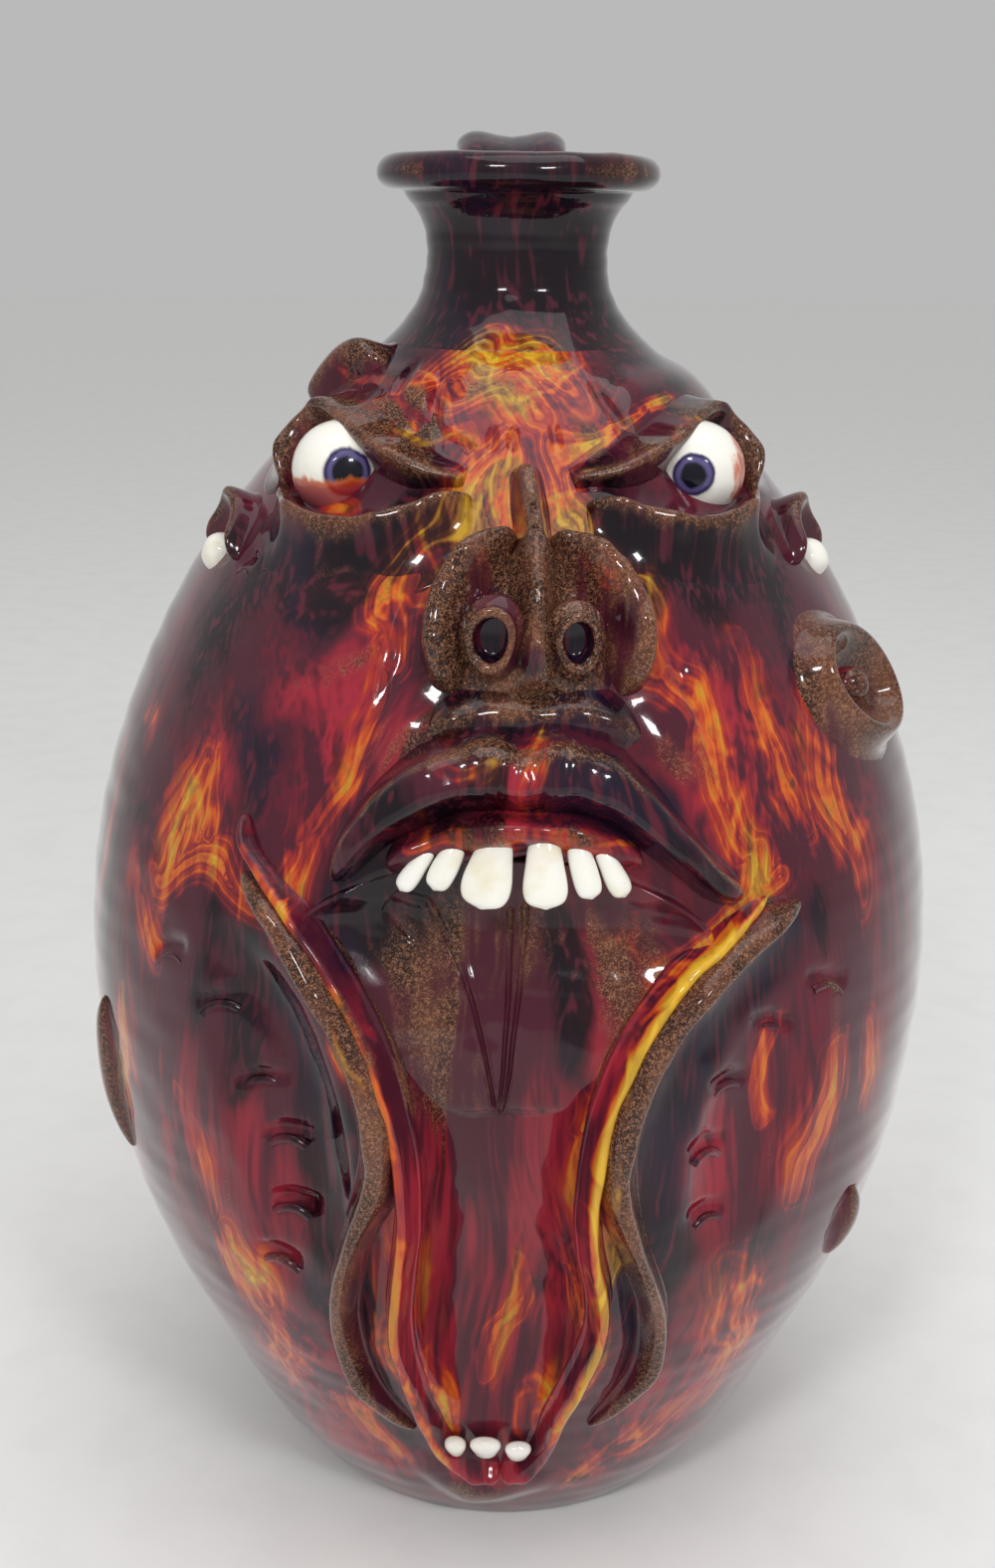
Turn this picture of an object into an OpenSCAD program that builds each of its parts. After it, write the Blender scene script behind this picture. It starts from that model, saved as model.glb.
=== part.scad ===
// Hand-thrown stoneware face jug: a thrown body and neck with a strap handle,
// and the pieces of a wide-mouthed face luted on to the front.
// The origin is the centre of the flat foot. The face looks towards -Y.
// Left and right are as seen by someone who looks at the face.

/* [Body] */
// Height of the body, up to the seat that carries the neck
body_h = 330; // [300:1:360]
// Widest diameter of the belly
belly_d = 242; // [222:1:262]
// Height of the widest part above the foot
belly_z = 165; // [150:1:180]
// Diameter of the flat foot
foot_d = 129; // [115:1:145]
// Outside diameter of the body where the neck is seated
seat_d = 69; // [64:1:74]
// Thickness of the thrown wall
wall = 8; // [6.5:0.5:9]
// Thickness of the floor
floor_t = 10; // [8:0.5:14]
// Chamfer round the edge of the foot
foot_edge = 1.5; // [0.5:0.5:3]

/* [Neck and lip] */
// Height of the neck, from its seat to the top of the lip
neck_h = 47; // [42:1:54]
// Outside diameter of the neck where it is narrowest
waist_d = 47.5; // [44:0.5:52]
// Bore through the neck
bore_d = 33; // [29:0.5:35]
// Outside diameter of the rolled lip
lip_d = 74; // [68:1:80]
// Thickness of the roll of the lip
lip_roll_d = 9.6; // [8:0.2:11]

/* [Handle] */
// Width of the strap
strap_w = 32; // [28:1:36]
// Thickness of the strap at its edges
strap_t = 8; // [6.5:0.5:10]
// Farthest reach of the strap from the middle of the jug
strap_reach = 104; // [98:1:112]
// Rise of the strap's arch above the lip
strap_rise = 7; // [5:0.5:10]
// Height at which the strap runs into the shoulder
strap_foot_z = 246; // [236:1:256]

/* [Mouth] */
// Length of the hollow that is pressed in for the mouth
hollow_l = 176; // [170:1:180]
// Largest radius of that hollow
hollow_r = 56; // [53:0.5:58]
// Height of the low end of the hollow
hollow_z = 43.5; // [42:0.5:47]
// Stand-out of the low end of its middle line from the wall
hollow_out = 9.6; // [8:0.2:11]
// Width of the upper lip
lip_w = 16.5; // [14:0.5:17]
// Stand-out of the upper lip
lip_t = 13; // [10:0.5:15]
// Width of the gum
gum_w = 5; // [4:0.25:5.5]
// Stand-out of the gum
gum_t = 7; // [5:0.5:9]
// Thickness of the tongue
tongue_t = 19; // [14:0.5:20]

/* [Teeth] */
// Width of the widest upper tooth
tooth_w = 10.6; // [8.6:0.2:10.8]
// Length of the longest upper tooth
tooth_l = 14; // [11:0.5:16]
// Thickness of a tooth
tooth_t = 4.5; // [3:0.25:6]
// Width of the widest lower tooth
low_tooth_w = 8; // [6:0.25:8.25]
// Length of the longest lower tooth
low_tooth_l = 8.5; // [6:0.5:10]

/* [Coils of the cheeks] */
// Width of the outer fold of the cheek
fold_w = 5.6; // [4.6:0.2:5.8]
// Stand-out of the outer fold
fold_t = 9; // [7:0.5:11]
// Width of the bright rim beside the mouth
rim_w = 4.2; // [3.6:0.2:4.4]
// Stand-out of that rim
rim_t = 7.5; // [6:0.5:9]
// Depth of the hollow pressed into each cheek
cheek_depth = 6; // [4:0.25:6.5]
// Length of that hollow
cheek_l = 100; // [90:1:104]
// Radius of that hollow along its middle
cheek_r = 34; // [30:1:36]

/* [Eyes] */
// Diameter of an eyeball
eye_d = 25; // [22:0.5:27]
// Stand-out of an eyeball from the wall
eye_out = 11.5; // [10:0.5:12.5]
// Width of an eyelid coil
lid_w = 6.5; // [5.5:0.25:7.5]
// Stand-out of an eyelid coil
lid_t = 9; // [7.5:0.5:10.5]

/* [Nose] */
// Width of the ball of the nose
nose_w = 37; // [34:0.5:38]
// Stand-out of the ball of the nose
nose_t = 16; // [14:0.5:18]
// Width of the coil that makes each wing of the nose
wing_w = 7; // [5.5:0.25:7.5]
// Stand-out of that coil
wing_t = 14; // [11:0.5:16]
// Outside diameter of a nostril ring
nostril_d = 12.5; // [11:0.25:13]
// Hole of a nostril ring
nostril_bore_d = 6.5; // [5:0.25:8]
// Stand-out of a nostril ring from the ball of the nose
nostril_out = 3; // [2:0.25:4]
// Width of the pad under the nose
pad_w = 6.5; // [5.5:0.5:7]
// Stand-out of the pad under the nose
pad_t = 9; // [7:0.5:11]

/* [Pieces on the flanks] */
// Width of the ring coil on the right flank
flank_coil_w = 8; // [6:0.5:9]
// Stand-out of the ring coil
flank_coil_t = 9; // [7:0.5:11]
// Diameter of the small ball on each flank
flank_ball_d = 11; // [9:0.5:13]
// Width of the small clay lumps
lump_w = 10; // [8:0.5:12]

/* [Hidden] */

// Luting gap between a piece and the wall that carries it
gap = 0.25;
// Overrun of every cut
over = 1;
// Chords round a turned surface
$fn = 96;
// Whole turn in degrees
full_turn_angle = 360;
// Height of one step of the turned profiles
profile_step = 9;
top_z = body_h + neck_h;

// Colours of the glaze
plum = [0.27, 0.08, 0.10];
black_glaze = [0.10, 0.08, 0.10];
copper_brown = [0.30, 0.17, 0.10];
oxblood = [0.42, 0.10, 0.10];
orange = [0.85, 0.35, 0.08];
white_slip = [0.93, 0.91, 0.86];

// Curve through points [x, y], read at x
function leg(p, x) = max([0, for (i = [1:len(p) - 2]) if (x >= p[i][0]) i]);
function slope(p, i) = let(a = max(i - 1, 0), b = min(i + 1, len(p) - 1)) (p[b][1] - p[a][1]) / (p[b][0] - p[a][0]);
function read_curve(p, x) =
    let(i = leg(p, x), h = p[i + 1][0] - p[i][0], t = (x - p[i][0]) / h, u = 1 - t)
    p[i][1] * (1 + 2 * t) * u * u + p[i + 1][1] * (1 + 2 * u) * t * t
    + h * t * u * (slope(p, i) * u - slope(p, i + 1) * t);

// Curve through the rows of a table, read at t from 0 to the number of the last row
function read_route(p, t) =
    let(n = len(p) - 1, i = min(floor(t), n - 1), u = t - i,
        a = p[max(i - 1, 0)], b = p[i], c = p[i + 1], d = p[min(i + 2, n)])
    (2 * b + (c - a) * u + (2 * a - 5 * b + 4 * c - d) * u * u + (3 * b - a - 3 * c + d) * u * u * u) / 2;

function unit(v) = v / norm(v);

// Outline of the thrown body: share of the height, and share of the swell in radius
below_belly_shares = [
    [0, 0], [0.05, 0.11], [0.14, 0.28], [0.28, 0.48], [0.46, 0.72], [0.65, 0.895], [0.83, 0.975], [1, 1]
];
above_belly_shares = [
    [0, 1], [0.2, 0.958], [0.38, 0.86], [0.545, 0.72], [0.68, 0.565],
    [0.795, 0.39], [0.888, 0.232], [0.955, 0.098], [1, 0]
];
wall_points = concat(
    [for (s = below_belly_shares) [s[0] * belly_z, (foot_d + s[1] * (belly_d - foot_d)) / 2]],
    [for (s = above_belly_shares) if (s[0] > 0)
        [belly_z + s[0] * (body_h - belly_z), (seat_d + s[1] * (belly_d - seat_d)) / 2]]
);
function wall_r(z) = read_curve(wall_points, z);
// Fall of the wall's radius with height, taken over a short chord
slope_chord = wall / 8;
function wall_lean(z) =
    (wall_r(min(z + slope_chord, body_h)) - wall_r(max(z - slope_chord, 0)))
    / (min(z + slope_chord, body_h) - max(z - slope_chord, 0));
function wall_normal(z) = unit([1, -wall_lean(z)]);
// Point at an angle from the front and a height, standing out from the wall by lift
function on_wall(angle, z, lift) =
    let(n = wall_normal(z), r = wall_r(z) + lift * n[0])
    [r * sin(angle), -r * cos(angle), z + lift * n[1]];

// Solid between rings of points that all have the same number of points
module loft(rings, closed = false) {
    n = len(rings);
    m = len(rings[0]);
    points = [for (ring = rings) each ring];
    turns = closed ? n : n - 1;
    skin = [
        for (i = [0:turns - 1]) for (j = [0:m - 1])
            let(k = (i + 1) % n, q = (j + 1) % m)
            each [[i * m + j, k * m + j, k * m + q], [i * m + j, k * m + q, i * m + q]]
    ];
    caps = closed ? [] : [
        for (j = [1:m - 2]) each [[0, j, j + 1], [(n - 1) * m, (n - 1) * m + j + 1, (n - 1) * m + j]]
    ];
    polyhedron(points, concat(skin, caps));
}

// Half-round section of a coil pressed on to the wall: shares of half its width and of its stand-out
coil_shares = [
    [-1, 0], [-0.97, 0.42], [-0.78, 0.76], [-0.42, 0.95], [0, 1], [0.42, 0.95], [0.78, 0.76], [0.97, 0.42], [1, 0], [0, 0]
];
broad_shares = [
    [-1, 0], [-0.97, 0.4], [-0.78, 0.76], [-0.42, 0.96], [0, 1],
    [0.42, 0.96], [0.78, 0.76], [0.97, 0.4], [1, 0], [0.4, 0], [-0.4, 0]
];

// Rings of a coil along a route of [angle, height share, width share, stand-out share]
function coil_rings(route, width, lift, steps, section) = [
    for (i = [0:steps]) let(
        last = len(route) - 1,
        t = last * i / steps,
        p = read_route(route, t),
        q = read_route(route, min(t + 0.1, last)) - read_route(route, max(t - 0.1, 0)),
        z = p[1] * body_h,
        r = wall_r(z),
        stretch = norm([1, wall_lean(z)]),
        along = unit([q[0] * PI / 180 * r, q[1] * body_h * stretch])
    ) [
        for (s = section) let(side = s[0] * width / 2 * p[2])
            on_wall(p[0] - along[1] * side / r * 180 / PI, z + along[0] * side / stretch, gap + s[1] * lift * p[3])
    ]
];
module coil(route, width, lift, steps, section = coil_shares)
    loft(coil_rings(route, width, lift, steps, section));

// Solid outside of the body, grown by a clearance, which trims what is seated on it
module body_skin(grow) rotate_extrude() polygon(concat(
    [[0, -grow], [foot_d / 2 - foot_edge + grow, -grow], [foot_d / 2 + grow, foot_edge - grow]],
    [for (i = [1:profile_rows]) let(z = body_h * i / profile_rows, n = wall_normal(z))
        [wall_r(z) + grow * n[0], z + (i < profile_rows ? grow * n[1] : grow)]],
    [[0, body_h + grow]]
));
profile_rows = round(body_h / profile_step);

// Hollow of the mouth: shares of its length and of its largest radius
hollow_shares = [
    [0, 0.15], [0.04, 0.18], [0.1, 0.25], [0.2, 0.34], [0.34, 0.385], [0.47, 0.36], [0.56, 0.365],
    [0.66, 0.44], [0.74, 0.58], [0.81, 0.78], [0.85, 0.93], [0.88, 0.99], [0.91, 0.95],
    [0.94, 0.84], [0.97, 0.72], [1, 0.61]
];
hollow_rows = 32;
// The middle line of the hollow starts outside the wall at its low end, and leans out to a share of its radius
// outside the wall at its top. It is turned a little away from the middle of the front.
hollow_top_share = 0.569;
hollow_reach = wall_r(hollow_z) + hollow_out;
hollow_lean = atan((wall_r(hollow_z + hollow_l) + hollow_top_share * hollow_r - hollow_reach) / hollow_l);
mouth_turn = -2.5;
function hollow_at(s) = read_curve(hollow_shares, s) * hollow_r;
module in_mouth() rotate([0, 0, mouth_turn]) translate([0, -hollow_reach, hollow_z]) rotate([hollow_lean, 0, 0])
    children();
module mouth_hollow(grow) in_mouth() rotate_extrude() polygon(concat(
    [[0, -grow]],
    [for (i = [0:hollow_rows]) [
        hollow_at(i / hollow_rows) + grow,
        i / hollow_rows * hollow_l + (i == 0 ? -grow : i == hollow_rows ? grow : 0)
    ]],
    [[0, hollow_l + grow]]
));

// Hollow of a cheek: a shallow barrel that leans outwards at its top
cheek_angle = 29.3;
cheek_z_share = 0.47;
cheek_lean = 12;
cheek_fall = 2;
cheek_rows = 10;
module cheek_hollow(side, grow = 0) {
    z = cheek_z_share * body_h;
    rotate([0, 0, side * cheek_angle]) translate([0, -(wall_r(z) + cheek_r - cheek_depth), z])
    rotate([0, side * cheek_lean, 0]) rotate_extrude() polygon(concat(
        [[0, -cheek_l / 2 - grow]],
        [for (i = [0:cheek_rows]) let(t = 2 * i / cheek_rows - 1)
            [cheek_r - cheek_fall * t * t + grow, t * (cheek_l / 2 + grow)]],
        [[0, cheek_l / 2 + grow]]
    ));
}

// Inside of the thrown wall
module cavity() rotate_extrude() polygon(concat(
    [[0, floor_t]],
    [for (i = [1:profile_rows - 1]) let(z = body_h * i / profile_rows, n = wall_normal(z))
        if (z - wall * n[1] > floor_t + over && wall_r(z) - wall * n[0] > seat_bore_d / 2)
            [wall_r(z) - wall * n[0], z - wall * n[1]]],
    [[seat_bore_d / 2, body_h - wall], [seat_bore_d / 2, body_h + over], [0, body_h + over]]
));
seat_bore_d = bore_d + wall;

module body() color(plum) difference() {
    body_skin(0);
    difference() {
        cavity();
        mouth_hollow(wall);
        cheek_hollow(-1, wall);
        cheek_hollow(1, wall);
    }
    mouth_hollow(0);
    cheek_hollow(-1);
    cheek_hollow(1);
}

// Outline of the neck: shares of the neck's height, and shares of its flare below and above the waist
waist_share = 0.44;
neck_shares = [
    [0, 1], [0.094, 0.6], [0.2, 0.27], [0.3, 0.08], [0.44, 0], [0.54, 0.02], [0.66, 0.14], [0.78, 0.44], [1, 1.2]
];
neck_top_share = 0.8;
neck_rows = 16;
// Height of the flare inside the seat
seat_flare_share = 0.3;
function neck_r(s) = (waist_d + read_curve(neck_shares, s) * ((s < waist_share ? seat_d : lip_d) - waist_d)) / 2;
module neck_skin(grow) {
    roll_r = lip_roll_d / 2;
    rotate_extrude() polygon(concat(
        [[0, body_h - grow], [seat_d / 2 + grow, body_h - grow]],
        [for (i = [0:neck_rows]) let(s = neck_top_share * i / neck_rows) [neck_r(s) + grow, body_h + s * neck_h]],
        [[lip_d / 2 - roll_r, top_z - roll_r - roll_r / 2], [lip_d / 2 - roll_r, top_z + grow], [0, top_z + grow]]
    ));
    translate([0, 0, top_z - roll_r]) rotate_extrude() translate([lip_d / 2 - roll_r, 0]) circle(r = roll_r + grow);
}
module neck() color(black_glaze) difference() {
    neck_skin(0);
    // Bore, with a flare to the body below it and a throat that opens to the lip above it
    translate([0, 0, body_h - over]) cylinder(d = bore_d, h = neck_h + 2 * over);
    translate([0, 0, body_h - over]) cylinder(d1 = seat_bore_d + 2 * over, d2 = bore_d, h = neck_h * seat_flare_share + over);
    throat_z = top_z - lip_roll_d;
    translate([0, 0, throat_z]) cylinder(d1 = bore_d, d2 = lip_d - lip_roll_d, h = lip_roll_d + over);
}

// Strap handle: shares of the reach outwards from the neck's waist, and of the height from its foot to its arch
strap_route_shares = [
    [-0.13, 0.755], [0.1, 0.835], [0.24, 0.905], [0.38, 0.955], [0.54, 0.967], [0.71, 0.912], [0.86, 0.797],
    [0.96, 0.63], [1.0, 0.435], [0.985, 0.268], [0.925, 0.116], [0.83, 0.007], [0.75, -0.06]
];
// Section of the strap: shares of half its width, and shares of its thickness, with a soft ridge at each edge
strap_shares = [
    [-1, 0.36], [-0.97, 0.66], [-0.86, 0.92], [-0.7, 1], [-0.5, 0.93], [-0.26, 0.8], [0, 0.76], [0.26, 0.8],
    [0.5, 0.93], [0.7, 1], [0.86, 0.92], [0.97, 0.66], [1, 0.36], [0.86, 0.08], [0.4, 0], [-0.4, 0], [-0.86, 0.08]
];
strap_steps = 26;
// Swell of the strap towards its foot
strap_spread = 0.16;
function strap_at(t) =
    let(p = read_route(strap_route_shares, t), y0 = waist_d / 2, z1 = top_z + strap_rise)
    [y0 + p[0] * (strap_reach - y0), strap_foot_z + p[1] * (z1 - strap_foot_z)];
module strap() loft([
    for (i = [0:strap_steps]) let(
        last = len(strap_route_shares) - 1,
        t = last * i / strap_steps,
        p = strap_at(t),
        along = unit(strap_at(min(t + 0.1, last)) - strap_at(max(t - 0.1, 0))),
        spread = 1 + strap_spread * pow(2 * t / last - 1, 4)
    ) [
        for (s = strap_shares) let(out = (s[1] - 0.5) * strap_t)
            [-s[0] * strap_w / 2 * spread, p[0] - along[1] * out, p[1] + along[0] * out]
    ]
]);
module handle() color(copper_brown) difference() {
    strap();
    body_skin(gap);
    neck_skin(gap);
}

// Upper lip
upper_lip_shares = [
    [-22.9, 0.646, 0.25, 0.35], [-20, 0.674, 0.48, 0.7], [-16.2, 0.698, 0.66, 0.9], [-10.9, 0.7175, 0.88, 1],
    [-5.8, 0.7257, 1, 1], [-3, 0.7255, 0.95, 0.95], [-0.8, 0.7225, 0.84, 0.82], [1.6, 0.7255, 0.96, 0.95],
    [4.2, 0.7257, 1, 1], [8.3, 0.7197, 0.9, 1], [13, 0.7024, 0.68, 0.9], [17.7, 0.6745, 0.52, 0.75],
    [22.6, 0.647, 0.44, 0.55], [26.6, 0.6325, 0.25, 0.3]
];
module upper_lip() color(copper_brown) coil(upper_lip_shares, lip_w, lip_t, 30, broad_shares);

upper_gum_shares = [
    [-13.5, 0.677, 0.45, 0.6], [-8, 0.6885, 0.85, 1], [-1.6, 0.6925, 1, 1], [5.4, 0.69, 0.9, 1], [11, 0.6795, 0.45, 0.6]
];
module upper_gum() color(oxblood) coil(upper_gum_shares, gum_w, gum_t, 12);

// A tooth: a flat petal from its root at one place of the wall to its tip at another
petal_shares = [
    [0, 0.55, 0.8], [0.2, 0.74, 0.95], [0.45, 0.92, 1], [0.68, 1, 0.95], [0.85, 0.9, 0.78], [0.95, 0.64, 0.52], [1, 0.3, 0.25]
];
tooth_sides = 12;
module petal(root, tip, width, thickness, root_lift, tip_lift) {
    a = on_wall(root[0], root[1] * body_h, root_lift);
    b = on_wall(tip[0], tip[1] * body_h, tip_lift);
    along = unit(b - a);
    front = unit(on_wall(root[0], root[1] * body_h, root_lift + wall) - a);
    side = unit(cross(along, front));
    out = cross(side, along);
    loft([
        for (s = petal_shares) let(c = a + (b - a) * s[0])
            [for (k = [0:tooth_sides - 1]) let(w = full_turn_angle * k / tooth_sides)
                c + side * cos(w) * width / 2 * s[1] + out * sin(w) * thickness / 2 * s[2]]
    ]);
}

// Upper teeth: place of the root, width, length and fan of the tip, as shares of the widest and longest tooth
function beside_middle(distance, height_share) = distance / wall_r(height_share * body_h) * 180 / PI;
upper_tooth_shares = [
    [-2.026, 0.42, 0.6, -0.470], [-1.401, 0.54, 0.66, -0.431], [-0.591, 1, 1, -0.286],
    [0.376, 0.9, 1, 0.000], [1.041, 0.54, 0.78, 0.215], [1.570, 0.42, 0.66, 0.343]
];
module upper_tooth(i) {
    s = upper_tooth_shares[i];
    gum_share = upper_gum_shares[2][1];
    angle = beside_middle(s[0] * tooth_w, gum_share);
    fan_angle = beside_middle(s[3] * tooth_w, gum_share);
    gum_z = read_curve([for (g = upper_gum_shares) [g[0], g[1]]], angle) * body_h;
    root_z = gum_z - gum_w / 2 - gap;
    color(white_slip) petal(
        [angle, root_z / body_h], [angle + fan_angle, (root_z - tooth_l * s[2]) / body_h],
        tooth_w * s[1], tooth_t, tooth_t / 2 + gap, tooth_t / 2 + gap + tooth_t / 3
    );
}
module upper_tooth_1() upper_tooth(0);
module upper_tooth_2() upper_tooth(1);
module upper_tooth_3() upper_tooth(2);
module upper_tooth_4() upper_tooth(3);
module upper_tooth_5() upper_tooth(4);
module upper_tooth_6() upper_tooth(5);

// Lower teeth: place of the root as a share of the widest width, its height share, width and length
lower_tooth_shares = [[-1.831, 0.131, 0.7, 0.9], [-0.866, 0.131, 1, 1], [0.176, 0.128, 0.87, 0.85]];
module lower_tooth(i) {
    s = lower_tooth_shares[i];
    angle = beside_middle(s[0] * low_tooth_w, s[1]);
    color(white_slip) petal(
        [angle, s[1]], [angle, s[1] + low_tooth_l * s[3] / body_h],
        low_tooth_w * s[2], tooth_t, tooth_t / 2 + gap, tooth_t / 2 + gap + tooth_t / 3
    );
}
module lower_tooth_1() lower_tooth(0);
module lower_tooth_2() lower_tooth(1);
module lower_tooth_3() lower_tooth(2);

// Tongue: a slab that lines the top of the hollow, with a groove between two ridges down its middle
tongue_top_share = 0.975;
tongue_tip_share = 0.6;
tongue_rows = 18;
tongue_back_steps = 6;
// Half-width as an angle round the hollow, and how it narrows from the top to the tip
tongue_spread_angle = 50;
tongue_spread_shares = [
    [0, 0.4], [0.06, 0.7], [0.14, 0.9], [0.3, 1], [0.55, 0.94], [0.75, 0.76], [0.9, 0.5], [1, 0.2]
];
tongue_thick_shares = [[0, 0.12], [0.07, 0.42], [0.16, 0.8], [0.28, 1], [0.5, 0.72], [0.75, 0.42], [0.92, 0.26], [1, 0.12]];
tongue_section_shares = [
    [-1, 0.25], [-0.8, 0.68], [-0.6, 0.84], [-0.35, 0.95], [-0.14, 1], [-0.07, 1.06], [0, 0.82],
    [0.07, 1.06], [0.14, 1], [0.35, 0.95], [0.6, 0.84], [0.8, 0.68], [1, 0.25]
];
function in_hollow(angle, s, lift) = let(r = hollow_at(s) - gap - lift) [r * sin(angle), r * cos(angle), s * hollow_l];
module tongue() color(oxblood) in_mouth() loft([
    for (i = [0:tongue_rows]) let(
        t = i / tongue_rows,
        s = tongue_top_share + t * (tongue_tip_share - tongue_top_share),
        half = read_curve(tongue_spread_shares, t) * tongue_spread_angle,
        thick = read_curve(tongue_thick_shares, t) * tongue_t
    ) concat(
        [for (c = tongue_section_shares) in_hollow(-c[0] * half, s, c[1] * thick)],
        [for (k = [tongue_back_steps:-1:-tongue_back_steps]) in_hollow(-k / tongue_back_steps * half, s, gap)]
    )
]);

// Outer folds of the cheeks and the bright rims inside them
left_fold_shares = [
    [-38.2, 0.64, 0.4, 0.35], [-32.7, 0.621, 0.85, 0.8], [-28.6, 0.6, 1, 0.95], [-24.1, 0.569, 1, 1],
    [-20.9, 0.539, 1, 1], [-18.4, 0.508, 1, 1], [-17.5, 0.471, 1, 1], [-18, 0.429, 1, 1], [-19.3, 0.384, 1, 0.95],
    [-21.4, 0.337, 1, 0.9], [-23, 0.286, 1, 0.8], [-22.6, 0.227, 0.95, 0.7], [-20, 0.18, 0.8, 0.5], [-16.2, 0.149, 0.4, 0.25]
];
right_fold_shares = [
    [36.3, 0.6212, 0.45, 0.4], [31.5, 0.6106, 0.9, 0.85], [26, 0.592, 1, 0.95], [20.8, 0.5705, 1, 1],
    [16.5, 0.5395, 1, 1], [13.9, 0.508, 1, 1], [12.3, 0.471, 1, 1], [12, 0.43, 1, 1], [12.8, 0.392, 1, 0.95],
    [14.8, 0.35, 1, 0.9], [17.5, 0.304, 1, 0.8], [18.7, 0.246, 0.95, 0.7], [16.6, 0.199, 0.8, 0.5], [12.4, 0.157, 0.4, 0.25]
];
left_rim_shares = [
    [-36.8, 0.68, 0.45, 0.45], [-35.2, 0.66, 0.8, 0.7], [-31.4, 0.6405, 0.95, 0.85], [-25.8, 0.6125, 1, 1],
    [-21, 0.577, 1, 1], [-17.7, 0.544, 1, 1], [-15.5, 0.509, 1, 1], [-14, 0.469, 1, 1], [-13.3, 0.429, 1, 1],
    [-13.4, 0.3865, 1, 1], [-14.4, 0.341, 1, 0.95], [-15.4, 0.291, 1, 0.9], [-15, 0.239, 1, 0.85],
    [-14, 0.195, 1, 0.8], [-12.6, 0.155, 1, 0.8], [-10.6, 0.124, 1, 0.8], [-7.6, 0.107, 1, 0.8],
    [-4.6, 0.1, 0.95, 0.75], [-2.7, 0.0985, 0.8, 0.7]
];
right_rim_shares = [
    [24.6, 0.6105, 0.5, 0.45], [21.2, 0.598, 0.95, 0.9], [17.7, 0.583, 1, 1], [13.9, 0.5535, 1, 1], [11.1, 0.522, 1, 1],
    [9.3, 0.489, 1, 1], [8.3, 0.449, 1, 1], [7.9, 0.4076, 1, 1], [8.5, 0.3677, 1, 1], [10, 0.325, 1, 0.95],
    [10.2, 0.28, 1, 0.9], [8.6, 0.233, 1, 0.85], [6.6, 0.185, 1, 0.8], [5.3, 0.14, 1, 0.8], [3.2, 0.113, 1, 0.8],
    [0.6, 0.1015, 0.95, 0.75], [-1.1, 0.099, 0.8, 0.7]
];
module left_cheek_fold() color(copper_brown) coil(left_fold_shares, fold_w, fold_t, 36);
module right_cheek_fold() color(copper_brown) coil(right_fold_shares, fold_w, fold_t, 36);
module left_mouth_rim() color(orange) coil(left_rim_shares, rim_w, rim_t, 44);
module right_mouth_rim() color(orange) coil(right_rim_shares, rim_w, rim_t, 42);

// Eyes: angle of the middle and height share
left_eye_shares = [-46, 0.912];
right_eye_shares = [45.6, 0.914];
module eye_ball_at(shares, d, out, grow = 0)
    translate(on_wall(shares[0], shares[1] * body_h, out - d / 2))
    rotate(grow == 0 ? [0, 0, 0] : [90, 0, shares[0] < 0 ? shares[0] : shares[0] + 180]) sphere(d = d + 2 * grow);
module eyeball(shares) color(white_slip) difference() {
    eye_ball_at(shares, eye_d, eye_out);
    body_skin(gap);
}
left_upper_lid_shares = [
    [-14.5, 0.9092, 0.4, 0.4], [-21.5, 0.9114, 0.8, 0.7], [-29.5, 0.9175, 0.95, 0.9], [-37.8, 0.9265, 1, 1],
    [-47.7, 0.937, 1, 1], [-57, 0.941, 1, 1], [-61.5, 0.93, 1, 1], [-61, 0.91, 0.9, 0.95], [-57.5, 0.893, 0.5, 0.6]
];
left_lower_lid_shares = [
    [-10.5, 0.9, 0.4, 0.4], [-16, 0.8915, 0.75, 0.8], [-21.6, 0.8814, 0.95, 0.9], [-27.2, 0.8731, 1, 0.9],
    [-33.7, 0.8695, 1, 0.95], [-40, 0.87, 1, 0.95], [-46.3, 0.8745, 0.95, 0.9], [-52, 0.8825, 0.5, 0.6]
];
right_upper_lid_shares = [
    [12.6, 0.9099, 0.4, 0.4], [20.6, 0.9122, 0.8, 0.7], [29.2, 0.919, 0.95, 0.9], [37.8, 0.928, 1, 1],
    [47.3, 0.938, 1, 1], [56.5, 0.941, 1, 1], [61.6, 0.9285, 1, 1], [61, 0.909, 0.9, 0.95], [57.5, 0.892, 0.5, 0.6]
];
right_lower_lid_shares = [
    [12.6, 0.8955, 0.4, 0.4], [18, 0.889, 0.75, 0.8], [23, 0.8815, 0.95, 0.9], [28.1, 0.875, 1, 0.9],
    [33.7, 0.8712, 1, 0.95], [40.2, 0.8725, 1, 0.95], [46.9, 0.8775, 0.95, 0.9], [52, 0.8845, 0.5, 0.6]
];
module lid(route, eye_shares) color(copper_brown) difference() {
    coil(route, lid_w, lid_t, 20);
    eye_ball_at(eye_shares, eye_d, eye_out, gap);
}
module left_eyeball() eyeball(left_eye_shares);
module right_eyeball() eyeball(right_eye_shares);
module left_upper_lid() lid(left_upper_lid_shares, left_eye_shares);
module left_lower_lid() lid(left_lower_lid_shares, left_eye_shares);
module right_upper_lid() lid(right_upper_lid_shares, right_eye_shares);
module right_lower_lid() lid(right_lower_lid_shares, right_eye_shares);

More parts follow.
